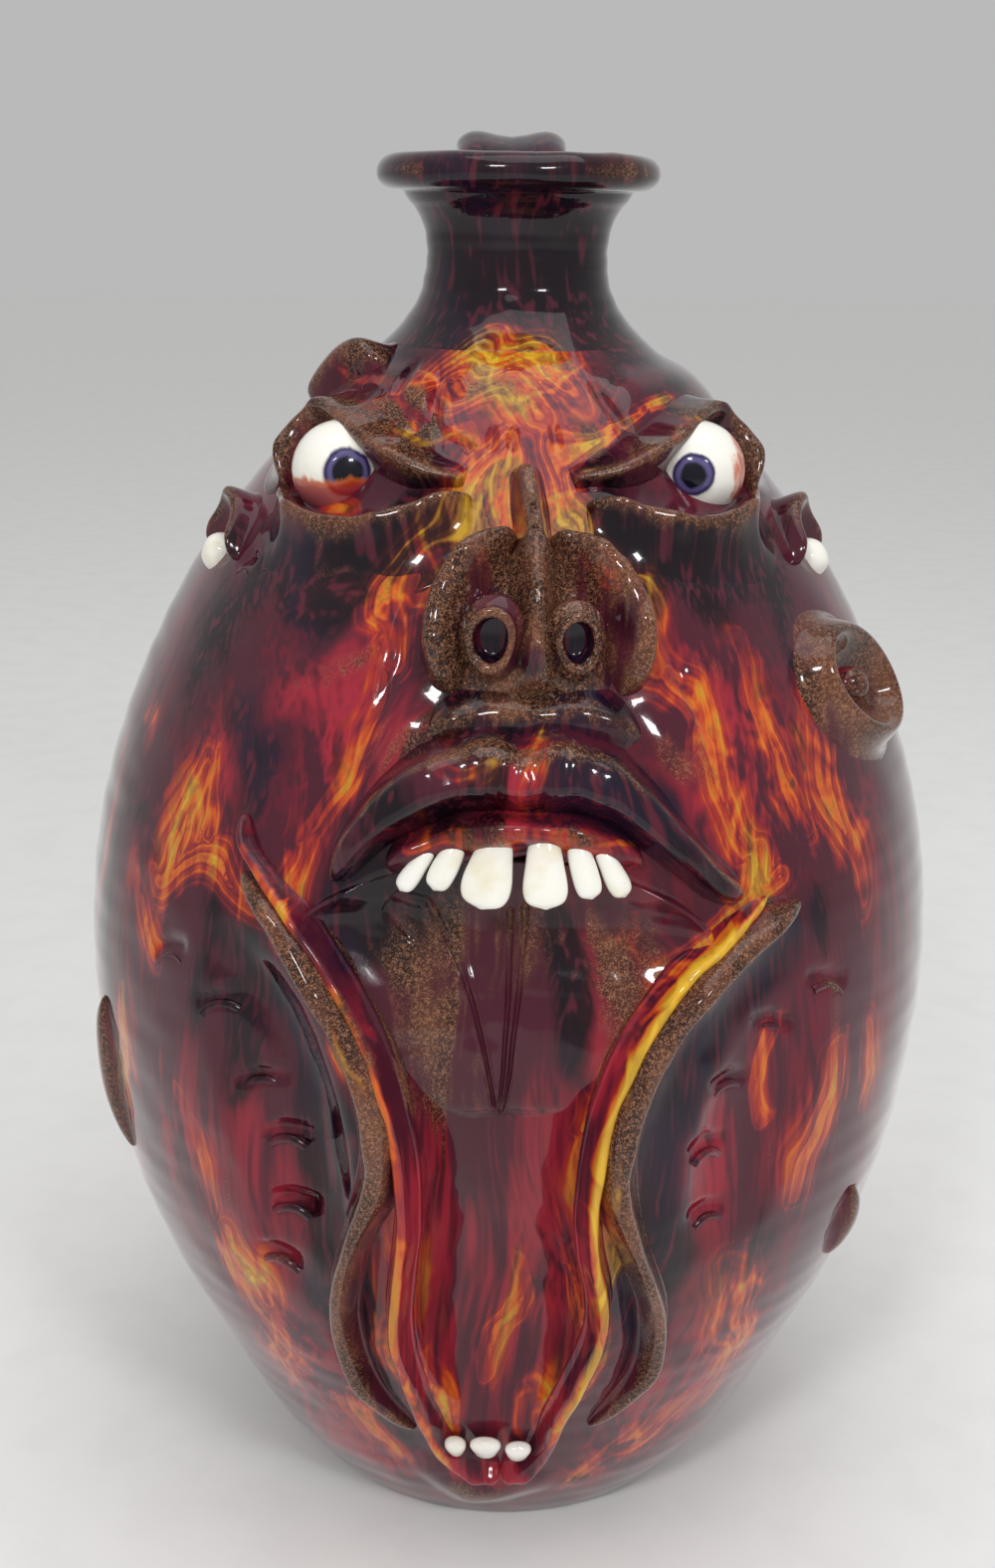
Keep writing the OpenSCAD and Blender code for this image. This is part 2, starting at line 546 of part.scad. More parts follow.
// Nose: a ridge that swells into a ball, with a socket for each nostril ring. The places of the pieces of the nose
// are shares of half its width, which beside_nose turns into angles, so that they keep their distances.
function beside_nose(share, height_share) =
    share * nose_w / 2 / wall_r(height_share * body_h) * 180 / PI;
function on_nose(route) = [for (p = route) [beside_nose(p[0], p[1]), p[1], p[2], p[3]]];
nose_shares = [
    [0, 0.905, 0.16, 0.35], [-0.014, 0.885, 0.2, 0.5], [0, 0.865, 0.22, 0.62], [0.023, 0.849, 0.3, 0.78],
    [0.072, 0.833, 0.57, 0.93], [0.109, 0.815, 0.94, 1], [0.118, 0.797, 1, 0.97], [0.121, 0.784, 0.95, 0.72], [0.123, 0.775, 0.72, 0.35]
];
// Nostril: share of half the nose's width, height share and share of the full size
left_nostril_shares = [-0.394, 0.8054, 1];
right_nostril_shares = [0.558, 0.8039, 0.92];
nostril_tip = 14;
nostril_turn = 8;
nostril_seat_share = 0.44;
nostril_seat = nostril_seat_share * nose_t;
module at_nostril(shares) translate(on_wall(beside_nose(shares[0], shares[1]), shares[1] * body_h, nose_t - nostril_seat))
    rotate([0, 0, beside_nose(shares[0], shares[1]) + sign(shares[0]) * nostril_turn]) rotate([90 + nostril_tip, 0, 0]) children();
module nostril_socket(shares) at_nostril(shares)
    cylinder(d = nostril_d * shares[2] + 2 * gap, h = nose_t);
module nostril(shares) color(copper_brown) at_nostril(shares) translate([0, 0, gap]) difference() {
    outer = nostril_d * shares[2];
    bore = nostril_bore_d * shares[2];
    edge = (outer - bore) / 4;
    length = nostril_seat + nostril_out - gap;
    union() {
        cylinder(d = outer, h = length - edge);
        translate([0, 0, length - edge]) rotate_extrude() translate([outer / 2 - edge, 0]) circle(r = edge);
    }
    translate([0, 0, edge]) cylinder(d = bore, h = length + over);
}
module nose() color(copper_brown) difference() {
    coil(on_nose(nose_shares), nose_w, nose_t, 20, broad_shares);
    nostril_socket(left_nostril_shares);
    nostril_socket(right_nostril_shares);
}
module left_nostril() nostril(left_nostril_shares);
module right_nostril() nostril(right_nostril_shares);

left_wing_shares = [
    [-0.413, 0.85, 0.45, 0.6], [-0.545, 0.8485, 0.8, 0.8], [-0.725, 0.843, 1, 0.9], [-0.912, 0.8335, 1, 1], [-1.052, 0.8197, 1, 1],
    [-1.146, 0.8024, 1, 1], [-1.178, 0.7851, 0.9, 0.85], [-1.117, 0.771, 0.5, 0.4]
];
right_wing_shares = [
    [0.503, 0.851, 0.45, 0.6], [0.643, 0.8495, 0.8, 0.8], [0.848, 0.844, 1, 0.9], [1.06, 0.835, 1, 1], [1.23, 0.8212, 1, 1],
    [1.361, 0.8054, 1, 1], [1.421, 0.7875, 0.9, 0.85], [1.372, 0.7715, 0.5, 0.4]
];
module left_nose_wing() color(copper_brown) coil(on_nose(left_wing_shares), wing_w, wing_t, 22);
module right_nose_wing() color(copper_brown) coil(on_nose(right_wing_shares), wing_w, wing_t, 22);

under_nose_shares = [
    [-13.2, 0.748, 0.4, 0.4], [-9.5, 0.757, 0.85, 0.9], [-4, 0.7625, 1, 1], [1.4, 0.7615, 0.9, 0.85],
    [6.6, 0.7625, 1, 1], [11.6, 0.756, 0.85, 0.9], [15.6, 0.746, 0.4, 0.4]
];
module under_nose_pad() color(copper_brown) coil(under_nose_shares, pad_w, pad_t, 20);

// Oval ring coil on the right flank, with a knob inside it
flank_ring_shares = [57.3, 0.751];
flank_ring_spread_angle = 9;
flank_ring_rise_share = 0.034;
// Slant of the oval
flank_ring_slant_angle = 1.6;
flank_ring_slant_share = 0.017;
flank_ring_steps = 24;
flank_knob_share = 1.3;
function flank_ring_at(w) = [
    flank_ring_shares[0] + flank_ring_spread_angle * cos(w) + flank_ring_slant_angle * sin(w),
    (flank_ring_shares[1] + flank_ring_rise_share * sin(w) - flank_ring_slant_share * cos(w)) * body_h
];
module right_flank_ring() color(copper_brown) loft([
    for (i = [0:flank_ring_steps - 1]) let(
        w = full_turn_angle * i / flank_ring_steps,
        p = flank_ring_at(w),
        q = flank_ring_at(w + 1) - flank_ring_at(w - 1),
        r = wall_r(p[1]),
        stretch = norm([1, wall_lean(p[1])]),
        along = unit([q[0] * PI / 180 * r, q[1] * stretch])
    ) [
        for (s = coil_shares) let(side = s[0] * flank_coil_w / 2)
            on_wall(
                p[0] - along[1] * side / r * 180 / PI, p[1] + along[0] * side / stretch, gap + s[1] * flank_coil_t
            )
    ]
], closed = true);
module right_flank_knob() color(orange) difference() {
    translate(on_wall(flank_ring_shares[0], flank_ring_shares[1] * body_h, 0)) sphere(d = flank_coil_w * flank_knob_share);
    body_skin(gap);
}

// Small lid and ball on each flank
flank_eye_share = 0.839;
left_flank_angle = -69.5;
right_flank_angle = 67.8;
flank_lid_spread_angle = 7;
module flank_ball(angle) color(white_slip) difference() {
    eye_ball_at([angle, flank_eye_share], flank_ball_d, flank_ball_d * flank_out_share);
    body_skin(gap);
}
flank_out_share = 0.4;
flank_lid_shares = [[-1, 0.011, 0.5, 0.5], [-0.5, 0.029, 0.9, 0.7], [0.3, 0.033, 0.9, 0.7], [1, 0.013, 0.5, 0.5]];
module flank_lid(angle) color(copper_brown) difference() {
    coil([
        for (s = flank_lid_shares) [angle + sign(angle) * flank_lid_spread_angle * s[0], flank_eye_share + s[1], s[2], s[3]]
    ], lid_w, lid_t, 12);
    eye_ball_at([angle, flank_eye_share], flank_ball_d, flank_ball_d * flank_out_share, gap);
}
module left_flank_lid() flank_lid(left_flank_angle);
module left_flank_ball() flank_ball(left_flank_angle);
module right_flank_lid() flank_lid(right_flank_angle);
module right_flank_ball() flank_ball(right_flank_angle);

// Lumps of clay: [angle, height share, width share, stand-out share]
shoulder_lump_shares = [[-58, 0.982, 0.6, 0.5], [-65, 0.98, 1.1, 1.2], [-72, 0.97, 1.2, 1.2], [-79, 0.953, 0.7, 0.7]];
left_low_lump_shares = [[-66, 0.47, 0.5, 0.3], [-67, 0.44, 1, 0.5], [-67, 0.39, 1.1, 0.55], [-65, 0.35, 0.5, 0.3]];
right_low_lump_shares = [[52, 0.335, 0.5, 0.3], [53, 0.315, 1, 0.5], [53, 0.295, 1, 0.5], [52, 0.275, 0.5, 0.3]];
lump_t = 8;
module left_shoulder_lump() color(copper_brown) coil(shoulder_lump_shares, lump_w, lump_t, 9);
module left_low_lump() color(orange) coil(left_low_lump_shares, lump_w, lump_t, 8);
module right_low_lump() color(orange) coil(right_low_lump_shares, lump_w, lump_t, 8);

body();
neck();
handle();
upper_lip();
upper_gum();
upper_tooth_1();
upper_tooth_2();
upper_tooth_3();
upper_tooth_4();
upper_tooth_5();
upper_tooth_6();
lower_tooth_1();
lower_tooth_2();
lower_tooth_3();
tongue();
left_cheek_fold();
right_cheek_fold();
left_mouth_rim();
right_mouth_rim();
left_eyeball();
left_upper_lid();
left_lower_lid();
right_eyeball();
right_upper_lid();
right_lower_lid();
nose();
left_nose_wing();
right_nose_wing();
left_nostril();
right_nostril();
under_nose_pad();
right_flank_ring();
right_flank_knob();
right_flank_lid();
right_flank_ball();
left_flank_lid();
left_flank_ball();
left_shoulder_lump();
left_low_lump();
right_low_lump();
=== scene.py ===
import math

import bpy
import numpy as np
from mathutils import Matrix, Vector


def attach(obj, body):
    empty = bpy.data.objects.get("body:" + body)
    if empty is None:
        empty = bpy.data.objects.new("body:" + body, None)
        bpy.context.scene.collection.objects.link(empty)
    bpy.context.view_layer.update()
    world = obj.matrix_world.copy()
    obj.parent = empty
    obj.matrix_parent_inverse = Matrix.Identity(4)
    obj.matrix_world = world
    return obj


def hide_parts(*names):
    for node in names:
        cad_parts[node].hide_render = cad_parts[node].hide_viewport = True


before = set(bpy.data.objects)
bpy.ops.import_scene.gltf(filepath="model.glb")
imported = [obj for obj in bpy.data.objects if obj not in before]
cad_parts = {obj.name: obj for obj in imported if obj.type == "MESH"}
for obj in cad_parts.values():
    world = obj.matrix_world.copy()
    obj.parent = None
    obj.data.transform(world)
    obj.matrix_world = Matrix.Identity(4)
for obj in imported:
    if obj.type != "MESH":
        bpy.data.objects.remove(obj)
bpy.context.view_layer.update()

# Sizes are in millimetres, as in the part's source, and become metres when a mesh is made.
# Angles are in degrees round the jug from the middle of its face, and grow to the right.
MM = 0.001
BODY_H, BELLY_D, BELLY_Z, FOOT_D, SEAT_D = 330.0, 242.0, 165.0, 129.0, 69.0
WALL, FLOOR_T, FOOT_EDGE = 8.0, 10.0, 1.5
NECK_H, WAIST_D, BORE_D, LIP_D, LIP_ROLL_D = 47.0, 47.5, 33.0, 74.0, 9.6
TOP_Z = BODY_H + NECK_H
STRAP_W, STRAP_T, STRAP_REACH, STRAP_RISE, STRAP_FOOT_Z = 32.0, 8.0, 104.0, 7.0, 246.0
HOLLOW_L, HOLLOW_R, HOLLOW_Z, HOLLOW_REACH = 176.0, 56.0, 43.5, 99.955
HOLLOW_LEAN, MOUTH_TURN = math.radians(13.92), math.radians(-2.5)
CHEEK_ANGLE, CHEEK_Z, CHEEK_LEAN, CHEEK_FALL = 29.3, 0.47 * BODY_H, math.radians(12), 2.0
CHEEK_DEPTH, CHEEK_L, CHEEK_R, CHEEK_END_FALL = 6.0, 100.0, 34.0, 36.0
EYE_D, LID_BITE = 25.0, 0.4

# Outline of the thrown body, [share of the height, share of the swell], and of the neck
BELOW_BELLY = [[0, 0], [0.05, 0.11], [0.14, 0.28], [0.28, 0.48], [0.46, 0.72], [0.65, 0.895], [0.83, 0.975],
               [1, 1]]
ABOVE_BELLY = [[0.2, 0.958], [0.38, 0.86], [0.545, 0.72], [0.68, 0.565], [0.795, 0.39], [0.888, 0.232],
               [0.955, 0.098], [1, 0]]
NECK_FLARE = [[0, 1], [0.094, 0.6], [0.2, 0.27], [0.3, 0.08], [0.44, 0], [0.54, 0.02], [0.66, 0.14], [0.78, 0.44],
              [1, 1.2]]
MOUTH_HOLLOW = [[0, 0.15], [0.04, 0.18], [0.1, 0.25], [0.2, 0.34], [0.34, 0.385], [0.47, 0.36], [0.56, 0.365],
                [0.66, 0.44], [0.74, 0.58], [0.81, 0.78], [0.85, 0.93], [0.88, 0.99], [0.91, 0.95], [0.94, 0.84],
                [0.97, 0.72], [1, 0.61]]


def smooth_curve(points, x):
    """Curve through points [x, y], read at x."""
    p = np.asarray(points, float)
    n = len(p)
    before, after = np.maximum(np.arange(n) - 1, 0), np.minimum(np.arange(n) + 1, n - 1)
    slope = (p[after, 1] - p[before, 1]) / (p[after, 0] - p[before, 0])
    x = np.clip(np.asarray(x, float), p[0, 0], p[-1, 0])
    i = np.clip(np.searchsorted(p[:, 0], x, side="right") - 1, 0, n - 2)
    h = p[i + 1, 0] - p[i, 0]
    t = (x - p[i, 0]) / h
    u = 1 - t
    return (p[i, 1] * (1 + 2 * t) * u * u + p[i + 1, 1] * (1 + 2 * u) * t * t
            + h * t * u * (slope[i] * u - slope[i + 1] * t))


def smooth_route(rows, t):
    """Curve through the rows of a table, read at t from 0 to the last row."""
    p = np.asarray(rows, float)
    n = len(p) - 1
    t = np.clip(np.asarray(t, float), 0, n)
    i = np.minimum(np.floor(t).astype(int), n - 1)
    u = (t - i)[:, None]
    a, b, c, d = p[np.maximum(i - 1, 0)], p[i], p[i + 1], p[np.minimum(i + 2, n)]
    return (2 * b + (c - a) * u + (2 * a - 5 * b + 4 * c - d) * u * u + (3 * b - a - 3 * c + d) * u ** 3) / 2


OUTLINE = [[s * BELLY_Z, (FOOT_D + k * (BELLY_D - FOOT_D)) / 2] for s, k in BELOW_BELLY] + [
    [BELLY_Z + s * (BODY_H - BELLY_Z), (SEAT_D + k * (BELLY_D - SEAT_D)) / 2] for s, k in ABOVE_BELLY]
HEIGHTS = np.linspace(0, BODY_H, 1321)
RADII = smooth_curve(OUTLINE, HEIGHTS)
LEANS = np.gradient(RADII, HEIGHTS)


def wall_r(z):
    return np.interp(z, HEIGHTS, RADII)


def wall_lean(z):
    return np.interp(z, HEIGHTS, LEANS)


def on_wall(angle, z, lift):
    """Points at an angle and a height that stand out from the thrown wall by lift."""
    a, z, lift = np.broadcast_arrays(*(np.asarray(v, float) for v in (np.radians(angle), z, lift)))
    lean = wall_lean(z)
    k = 1 / np.sqrt(1 + lean * lean)
    r = wall_r(z) + lift * k
    return np.stack([r * np.sin(a), -r * np.cos(a), z - lift * lean * k], axis=-1)


def soft_step(x, low, high):
    t = np.clip((np.asarray(x, float) - low) / (high - low), 0, 1)
    return t * t * (3 - 2 * t)


def soft_max(a, b, blend):
    h = np.clip(0.5 + 0.5 * (a - b) / blend, 0, 1)
    return b + (a - b) * h + blend * h * (1 - h)


def turned(points, axis, angle):
    """Points turned about an axis of the jug by an angle in radians."""
    c, s = math.cos(angle), math.sin(angle)
    i, j = {"x": (1, 2), "y": (2, 0), "z": (0, 1)}[axis]
    out = np.array(points, float)
    out[..., i], out[..., j] = c * points[..., i] - s * points[..., j], s * points[..., i] + c * points[..., j]
    return out


def signed_power(x, power):
    """x to a power, with its sign kept: a circle's sines turned into a squarer section."""
    return np.sign(x) * np.abs(x) ** power


def off_line(x, y, line):
    """How far places are from a line through [x, y] points, and the share of the line run at the nearest point."""
    q = np.asarray(line, float)
    best = np.full(np.broadcast(x, y).shape, 1e9)
    along = np.zeros_like(best)
    for k, (a, b) in enumerate(zip(q[:-1], q[1:])):
        d = b - a
        t = np.clip(((x - a[0]) * d[0] + (y - a[1]) * d[1]) / max(d @ d, 1e-9), 0, 1)
        gone = np.hypot(x - a[0] - t * d[0], y - a[1] - t * d[1])
        along = np.where(gone < best, (k + t) / (len(q) - 1), along)
        best = np.minimum(best, gone)
    return best, along


class Marks:
    """A sheet laid round the wall that keeps a value at every angle and height.

    across keeps how far each place is from the line of the mark that covers it, in millimetres.
    """

    STEP_A, STEP_Z = 0.4, 1.0

    def __init__(self):
        self.angles = np.arange(-180, 180, self.STEP_A)
        self.heights = np.arange(0, TOP_Z + 13, self.STEP_Z)
        self.value = np.zeros((len(self.angles), len(self.heights)))
        self.across = np.zeros_like(self.value)

    def distance(self, line, reach):
        """Part of the sheet within reach of a line, its distance from it and the share run along it."""
        p = np.array([[a, s * BODY_H] for a, s in line], float)
        mid = float(p[:, 1].mean())
        r = float(wall_r(mid)) if mid < BODY_H else WAIST_D / 2
        per_a, per_z = math.radians(r), math.hypot(1, float(wall_lean(mid)))
        i0 = int(np.searchsorted(self.angles, p[:, 0].min() - reach / per_a))
        i1 = int(np.searchsorted(self.angles, p[:, 0].max() + reach / per_a)) + 1
        j0 = max(int((p[:, 1].min() - reach / per_z) / self.STEP_Z), 0)
        j1 = int((p[:, 1].max() + reach / per_z) / self.STEP_Z) + 2
        gone, along = off_line(self.angles[i0:i1, None] * per_a, self.heights[None, j0:j1] * per_z,
                               p * [per_a, per_z])
        return (slice(i0, i1), slice(j0, j1)), gone, along

    def stroke(self, line, half_width, amount, soft=1.0, taper=0.0, cover=False):
        """Adds amount along a line, falling off across half_width. With cover the sheet keeps the larger value."""
        spot, gone, along = self.distance(line, half_width * (1 + soft))
        fall = 1 - soft_step(gone, half_width * (1 - 0.5 * soft), half_width * (1 + 0.5 * soft))
        if taper:
            fall = fall * (1 - taper * np.abs(2 * along - 1) ** 2)
        if cover:
            self.across[spot] = np.where(amount * fall > self.value[spot], gone, self.across[spot])
            self.value[spot] = np.maximum(self.value[spot], amount * fall)
        else:
            self.value[spot] += amount * fall

    def read(self, angle, z, sheet=None):
        """The value at an angle and a height, or what another sheet of the same size says there."""
        a = (np.asarray(angle, float) + 180) % 360 / self.STEP_A
        i0 = np.floor(a).astype(int) % len(self.angles)
        i1 = (i0 + 1) % len(self.angles)
        u = a - np.floor(a)
        b = np.clip(np.asarray(z, float) / self.STEP_Z, 0, len(self.heights) - 1.001)
        j0 = np.floor(b).astype(int)
        v = b - j0
        f = self.value if sheet is None else sheet
        return ((f[i0, j0] * (1 - u) + f[i1, j0] * u) * (1 - v)
                + (f[i0, j0 + 1] * (1 - u) + f[i1, j0 + 1] * u) * v)


def seats_of(points):
    """Angle and height of points near the wall."""
    return np.degrees(np.arctan2(points[..., 0], -points[..., 1])), points[..., 2]


# Meshes
def put_in_scene(name, data):
    obj = bpy.data.objects.new(name, data)
    bpy.context.scene.collection.objects.link(obj)
    return obj


POINT_MARKS = {1: ("FLOAT", "value"), 3: ("FLOAT_VECTOR", "vector"), 4: ("FLOAT_COLOR", "color")}


def mark_points(mesh, name, values):
    """Keeps a number, a direction or a colour at every point of a mesh."""
    values = np.asarray(values, np.float32)
    kind, field = POINT_MARKS[values.shape[1] if values.ndim > 1 else 1]
    mesh.attributes.new(name, kind, "POINT").data.foreach_set(field, values.ravel())


def clay_mesh(name, points, faces):
    """An object with smooth faces from points in millimetres, its faces turned outwards."""
    mesh = bpy.data.meshes.new(name)
    points = np.asarray(points, float)
    corners = sum(f.size for f in faces)
    mesh.vertices.add(len(points))
    mesh.vertices.foreach_set("co", (points * MM).ravel())
    order = np.concatenate([f.ravel() for f in faces]).astype(np.int32)
    mesh.loops.add(corners)
    mesh.loops.foreach_set("vertex_index", order)
    sizes = np.concatenate([np.full(len(f), f.shape[1]) for f in faces])
    mesh.polygons.add(len(sizes))
    mesh.polygons.foreach_set("loop_start", np.concatenate([[0], np.cumsum(sizes)[:-1]]).astype(np.int32))
    mesh.update(calc_edges=True)
    mesh.validate()
    volume = 0.0
    for f in faces:
        for k in range(1, f.shape[1] - 1):
            a, b, c = points[f[:, 0]], points[f[:, k]], points[f[:, k + 1]]
            volume += float(np.einsum("ij,ij->i", a, np.cross(b, c)).sum())
    if volume < 0:
        mesh.flip_normals()
    mesh.shade_smooth()
    return put_in_scene(name, mesh)


def ring_faces(rings, around, closed_along=False):
    """Faces between rings of points, each of the same number of points."""
    i = np.arange(rings if closed_along else rings - 1)[:, None]
    j = np.arange(around)[None, :]
    k, q = (i + 1) % rings, (j + 1) % around
    return np.stack([i * around + j, i * around + q, k * around + q, k * around + j], axis=-1).reshape(-1, 4)


def capped(rings):
    """Points and faces of a solid from rings of points, with a middle point in each end."""
    n, m = rings.shape[:2]
    points = np.concatenate([rings.reshape(-1, 3), rings[0].mean(0)[None], rings[-1].mean(0)[None]])
    j = np.arange(m)
    q = (j + 1) % m
    first = np.stack([np.full(m, n * m), q, j], axis=-1)
    last = np.stack([np.full(m, n * m + 1), (n - 1) * m + j, (n - 1) * m + q], axis=-1)
    return points, [ring_faces(n, m), np.concatenate([first, last])]


def full_turn(n):
    return np.linspace(0, 2 * math.pi, n, endpoint=False)


def turned_rings(profile, around):
    """Rings round the jug's middle line from a profile of [radius, height]."""
    w = full_turn(around)
    profile = np.asarray(profile, float)
    return np.stack([profile[:, 0, None] * np.sin(w), -profile[:, 0, None] * np.cos(w),
                     np.repeat(profile[:, 1, None], around, axis=1)], axis=-1)


# Soft unevenness of hand work: a few seeded waves, the same at each run
hand = np.random.default_rng(7)
WAVES = [(hand.normal(size=3) / size, hand.uniform(0, 2 * math.pi), size)
         for size in (60, 45, 34, 26, 20, 15, 12, 9)]


def unevenness(points, amount):
    """Height of the unevenness of hand work at points, in millimetres."""
    return amount * sum(np.sin(points @ way * 1.2 * math.pi + phase) * size / 60 for way, phase, size in WAVES)


# Body
# How far the edges of the hollows are rounded, in millimetres
MOUTH_SOFT, MOUTH_END_SOFT, CHEEK_SOFT, CHEEK_END_SOFT = 2.5, 3.0, 3.0, 6.0


def mouth_field(p):
    """Distance outside of the hollow of the mouth, negative inside it."""
    q = turned(p, "z", -MOUTH_TURN) - [0, -HOLLOW_REACH, HOLLOW_Z]
    q = turned(q, "x", -HOLLOW_LEAN)
    s = np.clip(q[..., 2] / HOLLOW_L, 0, 1)
    r = np.interp(s, HOLLOW_SHARES, HOLLOW_RADII)
    lean = np.interp(s, HOLLOW_SHARES, HOLLOW_LEANS)
    side = (np.hypot(q[..., 0], q[..., 1]) - r) / np.sqrt(1 + lean * lean)
    return soft_max(side, np.maximum(-q[..., 2], q[..., 2] - HOLLOW_L), MOUTH_END_SOFT)


HOLLOW_SHARES = np.linspace(0, 1, 401)
HOLLOW_RADII = smooth_curve(MOUTH_HOLLOW, HOLLOW_SHARES) * HOLLOW_R
HOLLOW_LEANS = np.clip(np.gradient(HOLLOW_RADII, HOLLOW_SHARES * HOLLOW_L), -1.2, 1.2)


def in_mouth(angle, share, lift):
    """Points on the hollow of the mouth at an angle round it, standing in from it by lift."""
    angle, share = np.broadcast_arrays(angle, share)
    r = np.interp(share, HOLLOW_SHARES, HOLLOW_RADII) - lift
    q = np.stack([r * np.sin(angle), r * np.cos(angle), share * HOLLOW_L], axis=-1)
    return turned(turned(q, "x", HOLLOW_LEAN) + [0, -HOLLOW_REACH, HOLLOW_Z], "z", MOUTH_TURN)


def cheek_field(p, side):
    """Distance outside of the hollow of one cheek, negative inside it."""
    q = turned(p, "z", -math.radians(side * CHEEK_ANGLE))
    q = q - [0, -(float(wall_r(CHEEK_Z)) + CHEEK_R - CHEEK_DEPTH), CHEEK_Z]
    q = turned(q, "y", -side * CHEEK_LEAN)
    t = q[..., 2] / (CHEEK_L / 2)
    r = CHEEK_R - CHEEK_FALL * t * t - CHEEK_END_FALL * np.clip(np.abs(t) - 0.6, 0, 1) ** 2
    return soft_max(np.hypot(q[..., 0], q[..., 1]) - r, np.abs(q[..., 2]) - CHEEK_L / 2, CHEEK_END_SOFT)


def body_field(p):
    """Distance outside of the carved body."""
    z = np.clip(p[..., 2], 0, BODY_H)
    lean = wall_lean(z)
    out = (np.hypot(p[..., 0], p[..., 1]) - wall_r(z)) / np.sqrt(1 + lean * lean)
    for side in (-1, 1):
        out = soft_max(out, -cheek_field(p, side), CHEEK_SOFT)
    return soft_max(out, -mouth_field(p), MOUTH_SOFT)


def pulled_to(field, p):
    """Points moved on to the surface where the field is zero, and the field's slope at them."""
    e = 0.25
    f = field(p)
    g = np.stack([field(p + d) - f for d in np.eye(3) * e], axis=-1) / e
    return p - (f / np.maximum((g * g).sum(-1), 0.3))[..., None] * g, g


COLUMNS, ROWS, EASE, FACE_CLOSER = 336, 256, 0.75, 2.6
# Each pass of evening out: the rows and columns are divided by the first number, and it runs for the second
PASSES = ((8, 160), (4, 80), (2, 40), (1, 16))
CARVED_SKIN = []


def column_angles(n):
    """Angles of the columns of the body's skin, close together round the face."""
    a = np.linspace(-180, 180, 2001)
    close = 1 + FACE_CLOSER * (1 - soft_step(np.abs(a), 62, 92))
    run = np.concatenate([[0], np.cumsum((close[1:] + close[:-1]) / 2 * np.diff(a))])
    return np.interp(np.arange(n) / n * run[-1], run, a)


def row_heights(n):
    """Heights of the rows of the skin, evenly spaced along the outline."""
    run = np.concatenate([[0], np.cumsum(np.hypot(np.diff(RADII), np.diff(HEIGHTS)))])
    return np.interp(np.linspace(0, run[-1], n), run, HEIGHTS)


def carved_skin():
    """The body's outside: a skin laid on the thrown wall, sunk into the hollows and evened out along them."""
    moved = np.zeros((2, 1, 3))
    for part, rounds in PASSES:
        n, m = ROWS // part, COLUMNS // part
        angle, z = np.meshgrid(column_angles(m), row_heights(n))
        rest = on_wall(angle, z, 0)
        p = rest + finer(moved, n, m)
        step_a = np.linalg.norm(np.roll(rest, -1, 1) - rest, axis=-1)[..., None]
        step_z = np.linalg.norm(rest[1:] - rest[:-1], axis=-1)[..., None]
        for _ in range(rounds):
            after, before = 1 / step_a, 1 / np.roll(step_a, 1, 1)
            total = np.roll(p, -1, 1) * after + np.roll(p, 1, 1) * before
            weight = after + before
            total[1:-1] += p[2:] / step_z[1:] + p[:-2] / step_z[:-1]
            weight[1:-1] += 1 / step_z[1:] + 1 / step_z[:-1]
            p[1:-1] += EASE * (total / weight - p)[1:-1]
            p[1:-1] = pulled_to(body_field, p[1:-1])[0]
        moved = p - rest
    for _ in range(3):
        p[1:-1] = pulled_to(body_field, p[1:-1])[0]
    return p


def finer(grid, n, m):
    """A grid of moves read at more rows and columns."""
    rows = np.linspace(0, grid.shape[0] - 1, n)
    i = np.minimum(rows.astype(int), grid.shape[0] - 2)
    u = (rows - i)[:, None, None]
    grid = grid[i] * (1 - u) + grid[i + 1] * u
    cols = np.arange(m) / m * grid.shape[1]
    j = cols.astype(int)
    v = (cols - j)[None, :, None]
    return grid[:, j] * (1 - v) + grid[:, (j + 1) % grid.shape[1]] * v


def make_body(relief, finish):
    """The carved skin with its relief, closed by the foot, the seat of the neck and the inside."""
    skin = carved_skin()
    normal = pulled_to(body_field, skin)[1]
    normal /= np.linalg.norm(normal, axis=-1, keepdims=True)
    # Kept for the burrs of the nail marks, which sit on it
    CARVED_SKIN.extend([skin.reshape(-1, 3), normal.reshape(-1, 3)])
    angle, z = seats_of(skin)
    fade = soft_step(z, 0, 12) * (1 - soft_step(z, BODY_H - 8, BODY_H))
    inside = soft_step(-mouth_field(skin + normal), -2, 4)
    height = relief.read(angle, z) * (1 - inside) + unevenness(skin, 0.16)
    skin = skin + normal * (height * fade)[..., None]
    m = skin.shape[1]
    w = np.radians(column_angles(m))

    def ring(r, height):
        return np.stack([r * np.sin(w), -r * np.cos(w), np.full(m, float(height))], axis=-1)

    foot = [ring(r, 0) for r in (4, FOOT_D / 6, FOOT_D / 3, FOOT_D / 2 - 2 * FOOT_EDGE, FOOT_D / 2 - FOOT_EDGE)]
    seat = (BORE_D + WALL) / 2
    inside_rings = [ring(SEAT_D / 2 - 1, BODY_H + 0.2), ring(seat, BODY_H)]
    for h in np.linspace(BODY_H - WALL, FLOOR_T + 1, 14):
        # The inside stays a wall's thickness behind every hollow
        r = np.full(m, max(float(wall_r(h)) - WALL * math.hypot(1, float(wall_lean(h))), seat))
        for _ in range(6):
            p = ring(r, h)
            near = np.minimum(mouth_field(p), np.minimum(cheek_field(p, -1), cheek_field(p, 1)))
            r = np.where(near < WALL, r - (WALL - near) * 1.05, r)
        inside_rings.append(ring(r, h))
    floor_r = inside_rings[-1][:, :2]
    inside_rings += [np.concatenate([floor_r * k, np.full((m, 1), FLOOR_T)], axis=1) for k in (0.9, 0.5, 0.06)]
    rings = np.concatenate([np.array(foot), skin, np.array(inside_rings)])
    crest = np.zeros(rings.shape[:2])
    crest[len(foot):len(foot) + len(skin)] = soft_step(height, 0.5, 2.2) * fade
    clay_piece("jug_body", "body", rings, crest, finish)


